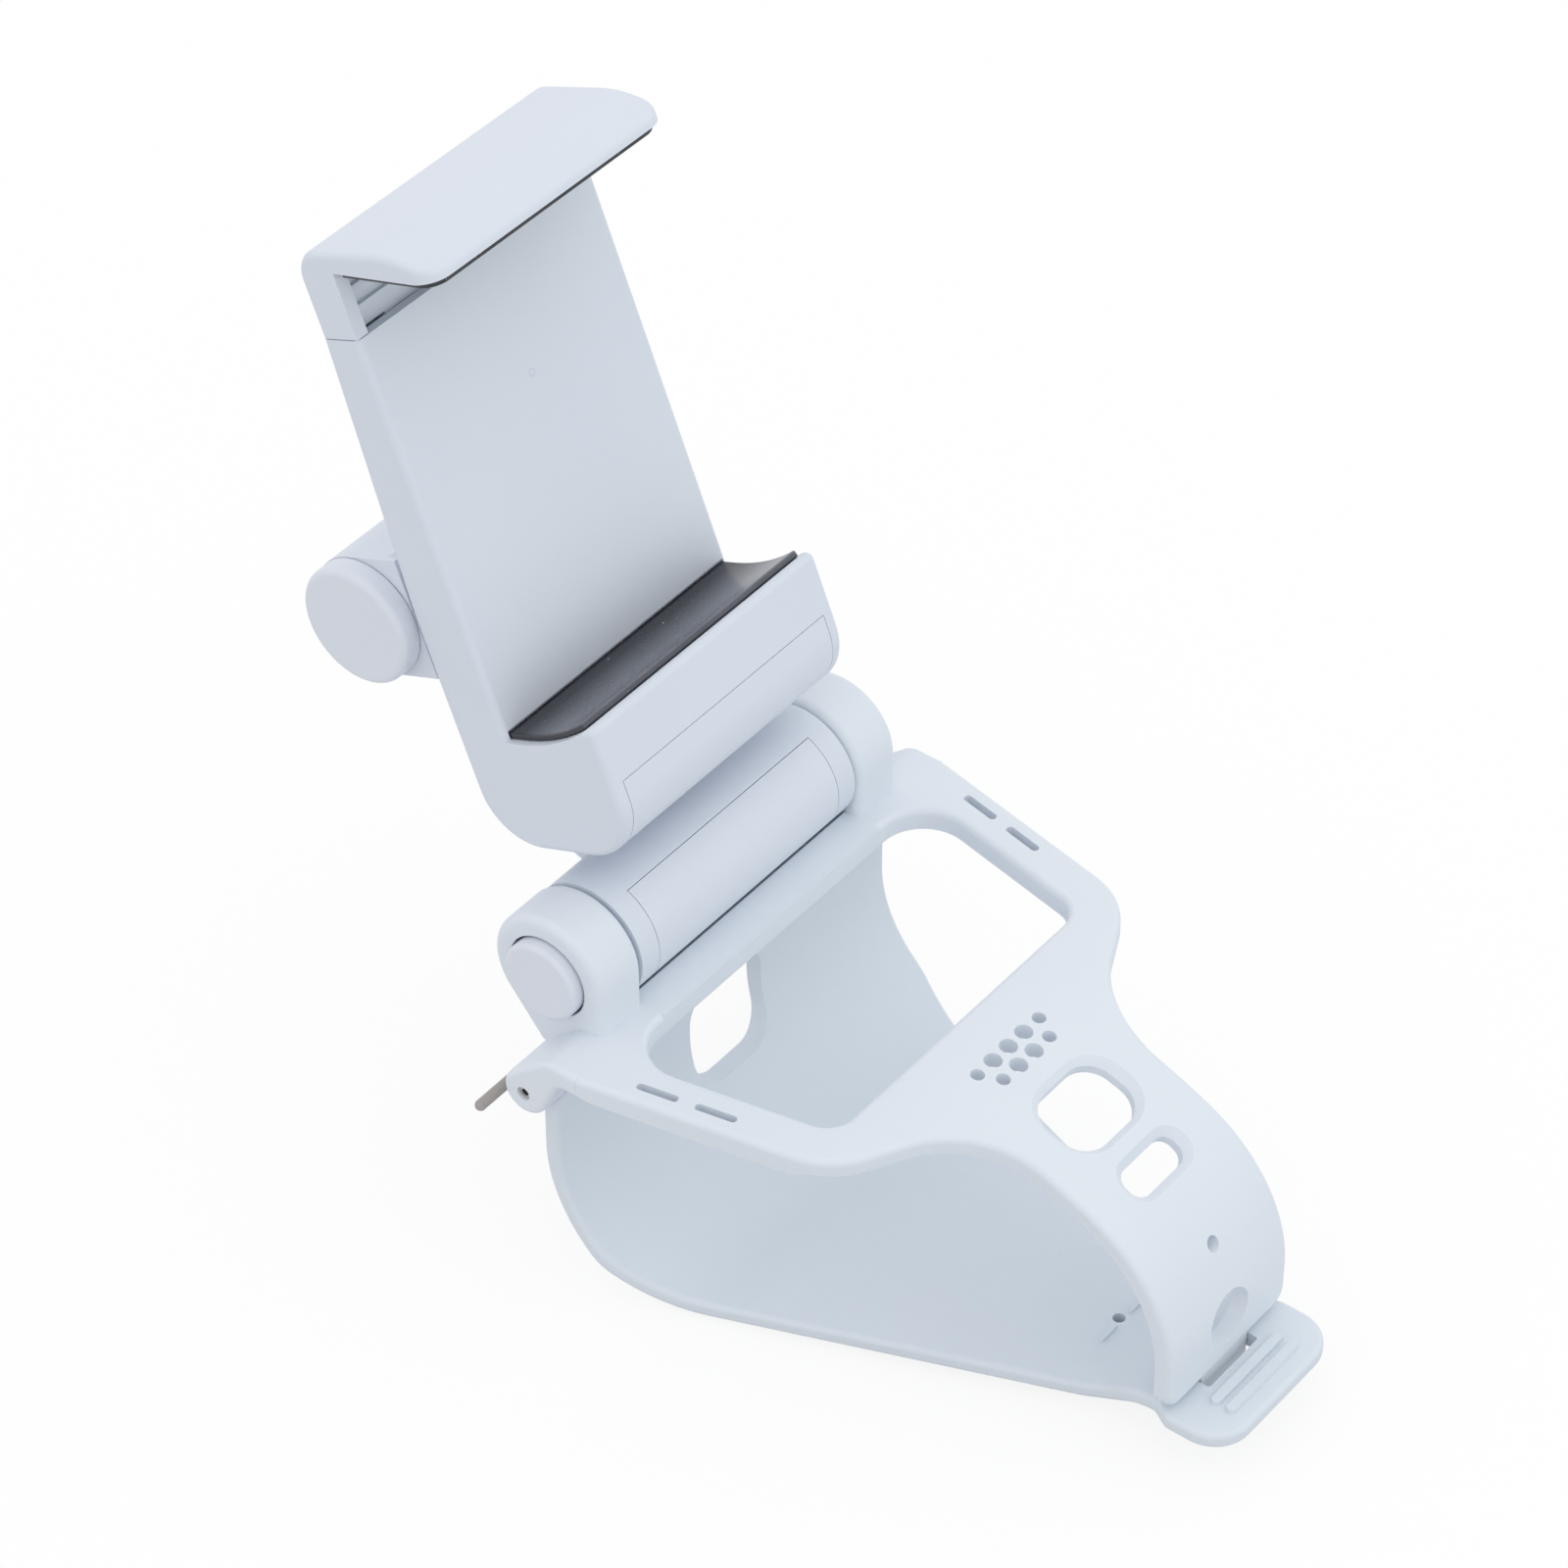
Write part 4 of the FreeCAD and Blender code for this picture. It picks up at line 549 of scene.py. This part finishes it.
# %% [markdown]
# ## The rear bumper
#
# A soft round bar lies along the cradle's rear edge, and its bare ends show at
# both sides. It is a sphere pulled apart at its waist: the ends stay perfectly
# round, and the middle becomes a straight bar. It is a hair thinner than the
# solid that it stands for, so that it stays within that solid's place.

# %% Rear bumper
bar_low, bar_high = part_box("rear_bumper")
bar_centre = (bar_low + bar_high) / 2
bar_radius = (bar_high.z - bar_low.z) / 2
bar_half = (bar_high.x - bar_low.x) / 2
thinner = 0.985

pulled_bar = bmesh.new()
bmesh.ops.create_uvsphere(
    pulled_bar, u_segments=24, v_segments=12, radius=bar_radius * thinner,
)
bmesh.ops.rotate(pulled_bar, cent=(0, 0, 0), matrix=Matrix.Rotation(math.pi / 2, 3, "Y"),
                 verts=pulled_bar.verts)
bmesh.ops.bisect_plane(
    pulled_bar, geom=pulled_bar.verts[:] + pulled_bar.edges[:] + pulled_bar.faces[:],
    plane_co=(0, 0, 0), plane_no=(1, 0, 0), dist=1e-7,
)
for side in (-1, 1):
    cap = [vert for vert in pulled_bar.verts if vert.co.x * side > 1e-6]
    bmesh.ops.translate(pulled_bar, vec=(side * (bar_half - bar_radius), 0, 0), verts=cap)
finish_piece("rear_bumper_soft", pulled_bar, bumper_rubber, "cradle", "rear_bumper",
             Matrix.Translation(bar_centre))

# %% [markdown]
# ## The springs
#
# Three springs work out of sight: one behind the push button and two that pull
# the jaw down. In the construction they are simplified. Here each is wound from
# round wire: a small circle is spun about the spring's axis and moves along it
# with every step.

# %% Wind the button's spring


def wound(wire_radius, coil_radius, length, turns, around=12):
    """A coil of round wire along Z from the origin, with closed ends."""
    shape = bmesh.new()
    section = bmesh.ops.create_circle(shape, cap_ends=True, radius=wire_radius, segments=8)
    bmesh.ops.rotate(shape, cent=(0, 0, 0), matrix=Matrix.Rotation(math.pi / 2, 3, "X"),
                     verts=section["verts"])
    bmesh.ops.translate(shape, vec=(coil_radius, 0, wire_radius), verts=section["verts"])
    steps = int(turns * around)
    rise = (length - 2 * wire_radius) / steps
    bmesh.ops.spin(
        shape, geom=shape.verts[:] + shape.edges[:] + shape.faces[:], cent=(0, 0, 0),
        axis=(0, 0, 1), dvec=(0, 0, rise), angle=2 * math.pi * turns, steps=steps,
    )
    return shape


button_low, button_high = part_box("button_spring")
button_centre = (button_low + button_high) / 2
button_length = button_high.x - button_low.x
button_wire = 0.3 * MM
button_coil_radius = 2.9 * MM
button_turns = 4.5
along_x = Matrix.Translation((button_low.x, button_centre.y, button_centre.z))
along_x = along_x @ Matrix.Rotation(math.pi / 2, 4, "Y")
button_coil = finish_piece(
    "button_spring_coil",
    wound(button_wire, button_coil_radius, button_length, button_turns, around=20),
    steel, "arm", "button_spring", along_x,
)
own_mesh(button_coil)

# %% [markdown]
# ## The jaw's springs
#
# The two springs that pull the jaw down end in eyes, which sit on pegs in the
# clamp and in the jaw. An eye is the same wire spun once round its peg, with a
# short stalk that reaches the coil.

# %% An eye and its stalk
spring_x = 11.5 * MM
spring_y = -14.2 * MM
lower_peg = -16.8 * MM
upper_peg = -0.4 * MM
wire = 0.25 * MM
eye_radius = 1.05 * MM
eye_turn = math.radians(330)
eye_reach = 2.0 * MM
stalk_length = 1.4 * MM
stalk_overlap = 0.2 * MM


def add_eye(coil, x, peg, toward):
    """Spin an open eye round a peg, and set a stalk on it toward the coil."""
    section = bmesh.ops.create_circle(coil, cap_ends=True, radius=wire, segments=8)["verts"]
    bmesh.ops.translate(coil, vec=(x + eye_radius, spring_y, peg), verts=section)
    rim = {edge for vert in section for edge in vert.link_edges}
    lid = {face for vert in section for face in vert.link_faces}
    bmesh.ops.spin(
        coil, geom=[*section, *rim, *lid], cent=(x, spring_y, peg),
        axis=(0, 1, 0), angle=eye_turn, steps=18,
    )
    stalk = bmesh.ops.create_cone(
        coil, cap_ends=True, segments=8, radius1=wire, radius2=wire, depth=stalk_length,
    )["verts"]
    stalk_z = peg + toward * (eye_radius + stalk_length / 2 - stalk_overlap)
    bmesh.ops.translate(coil, vec=(x, spring_y, stalk_z), verts=stalk)


print("pegs are", round((upper_peg - lower_peg) / MM, 1), "mm apart")

# %% Wind the two jaw springs
jaw_coil_radius = 1.33 * MM
jaw_turns = 22
jaw_coil_length = upper_peg - lower_peg - 2 * eye_reach
both = bmesh.new()
for x in (-spring_x, spring_x):
    coil = wound(wire, jaw_coil_radius, jaw_coil_length, jaw_turns)
    bmesh.ops.translate(coil, vec=(x, spring_y, lower_peg + eye_reach), verts=coil.verts)
    add_eye(coil, x, lower_peg, 1)
    add_eye(coil, x, upper_peg, -1)
    made = bpy.data.meshes.new("coil")
    coil.to_mesh(made)
    coil.free()
    both.from_mesh(made)
jaw_coils = finish_piece("jaw_spring_coils", both, steel, None, "jaw_springs",
                         into_clamp)
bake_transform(jaw_coils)

# %% [markdown]
# ## Floor and backdrop
#
# The photograph was taken in a light tent: even white on all sides, a white
# ground and hardly a shadow. The world is therefore plain white of strength one,
# in which a colour looks as it is written. A painted floor alone would come out
# light grey. So it glows white for the camera and for reflections, mixed with a
# little white paint, which keeps a soft shadow under the object. The light that
# it throws back up comes from a duller coat, because the clip's underside and
# the inside of the cradle are a shade darker than its top.

# %% Floor paint
glow_share = 0.85


def seen_rays(shader):
    """One for camera, glossy and transmitted rays, and zero for lighting rays."""
    path = shader.node("ShaderNodeLightPath")
    seen = path.out("Is Camera Ray") + path.out("Is Glossy Ray")
    seen = seen + path.out("Is Transmission Ray")
    return seen.maths("MINIMUM", 1.0)


paint = Shader("floor_white")
seen = seen_rays(paint)
coat = paint.between(seen, srgb(206, 207, 209), srgb(252, 252, 252))
plain = paint.node("ShaderNodeBsdfDiffuse", None, {"Color": coat}).out("BSDF")
glow = paint.node("ShaderNodeEmission", None, {"Color": (1, 1, 1, 1), "Strength": 1.0})
mixed = paint.node("ShaderNodeMixShader", None,
                   {0: seen * glow_share, 1: plain, 2: glow.out("Emission")})
paint.node("ShaderNodeOutputMaterial", None, {"Surface": mixed.out("Shader")})
print("floor paint has", len(paint.tree.nodes), "nodes")

# %% Ground and sky
floor_half = 3.0
floor_gap = 0.5 * MM

ground = bmesh.new()
bmesh.ops.create_grid(ground, x_segments=1, y_segments=1, size=floor_half)
bmesh.ops.translate(ground, vec=(0, 0, cad_low[2] - floor_gap), verts=ground.verts)
floor_mesh = bpy.data.meshes.new("floor")
ground.to_mesh(floor_mesh)
ground.free()
floor_mesh.materials.append(paint.material)
floor = bpy.data.objects.new("floor", floor_mesh)
bpy.context.scene.collection.objects.link(floor)

world = bpy.data.worlds.new("studio")
bpy.context.scene.world = world
sky = Shader("studio", world)
room = sky.node("ShaderNodeBackground", None, {"Color": (1, 1, 1, 1), "Strength": 1.0})
sky.node("ShaderNodeOutputWorld", None, {"Surface": room.out("Background")})
print("floor at z =", round((cad_low[2] - floor_gap) / MM, 1), "mm")

# %% [markdown]
# ## Light
#
# The tent does nearly all the work. What is left is a faint cool light from the
# front: in the photograph the faces turned that way are a little brighter and
# cooler than those turned to the left. One large weak lamp adds it.

# %% One soft lamp


def soft_lamp(name, place, target, width, power, tint):
    """A large square lamp that faces a point, with its width in metres and power in watts."""
    data = bpy.data.lights.new(name, "AREA")
    data.size = width
    data.energy = power
    data.color = tint
    lamp = bpy.data.objects.new(name, data)
    lamp.location = place
    aim = target - place
    lamp.rotation_mode = "QUATERNION"
    lamp.rotation_quaternion = aim.to_track_quat("-Z", "Y")
    bpy.context.scene.collection.objects.link(lamp)


middle = (cad_low + cad_high) / 2
to_lamp = Vector((0.3, -0.85, 0.35))
cool_tint = (0.4, 0.95, 1.0)
soft_lamp("front", middle + to_lamp, middle, width=0.7, power=0.36, tint=cool_tint)
print("lamp aims at", [round(value / MM) for value in middle], "mm")

# %% [markdown]
# ## Camera
#
# The camera's place was worked out from pairs of points that are mirror images
# of each other on the real clip: it looks down at 41 degrees from the front
# left, from three quarters of a metre away, through a long lens. A camera is
# set by three directions: to its right, up its picture, and back towards it.

# %% Camera at the photograph's place
azimuth = math.radians(-52.19)
elevation = math.radians(41.36)
sideways, above, away = -8.153 * MM, 22.312 * MM, 759.383 * MM
focal_pixels = 6087
picture_pixels = 1600
sensor_width = 36.0
backwards = Vector((
    math.sin(azimuth) * math.cos(elevation),
    -math.cos(azimuth) * math.cos(elevation),
    math.sin(elevation),
))
rightwards = Vector((math.cos(azimuth), math.sin(azimuth), 0))
upwards = backwards.cross(rightwards)
camera_data = bpy.data.cameras.new("camera")
camera_data.sensor_width = sensor_width
camera_data.lens = focal_pixels / picture_pixels * sensor_width
camera = bpy.data.objects.new("camera", camera_data)
place = rightwards * sideways + upwards * above + backwards * away
turned = Matrix((rightwards, upwards, backwards)).transposed().to_4x4()
camera.matrix_world = Matrix.Translation(place) @ turned
bpy.context.scene.collection.objects.link(camera)
bpy.context.scene.camera = camera
bpy.context.scene.view_settings.view_transform = "Standard"
print("camera lens:", round(camera_data.lens, 1), "mm")
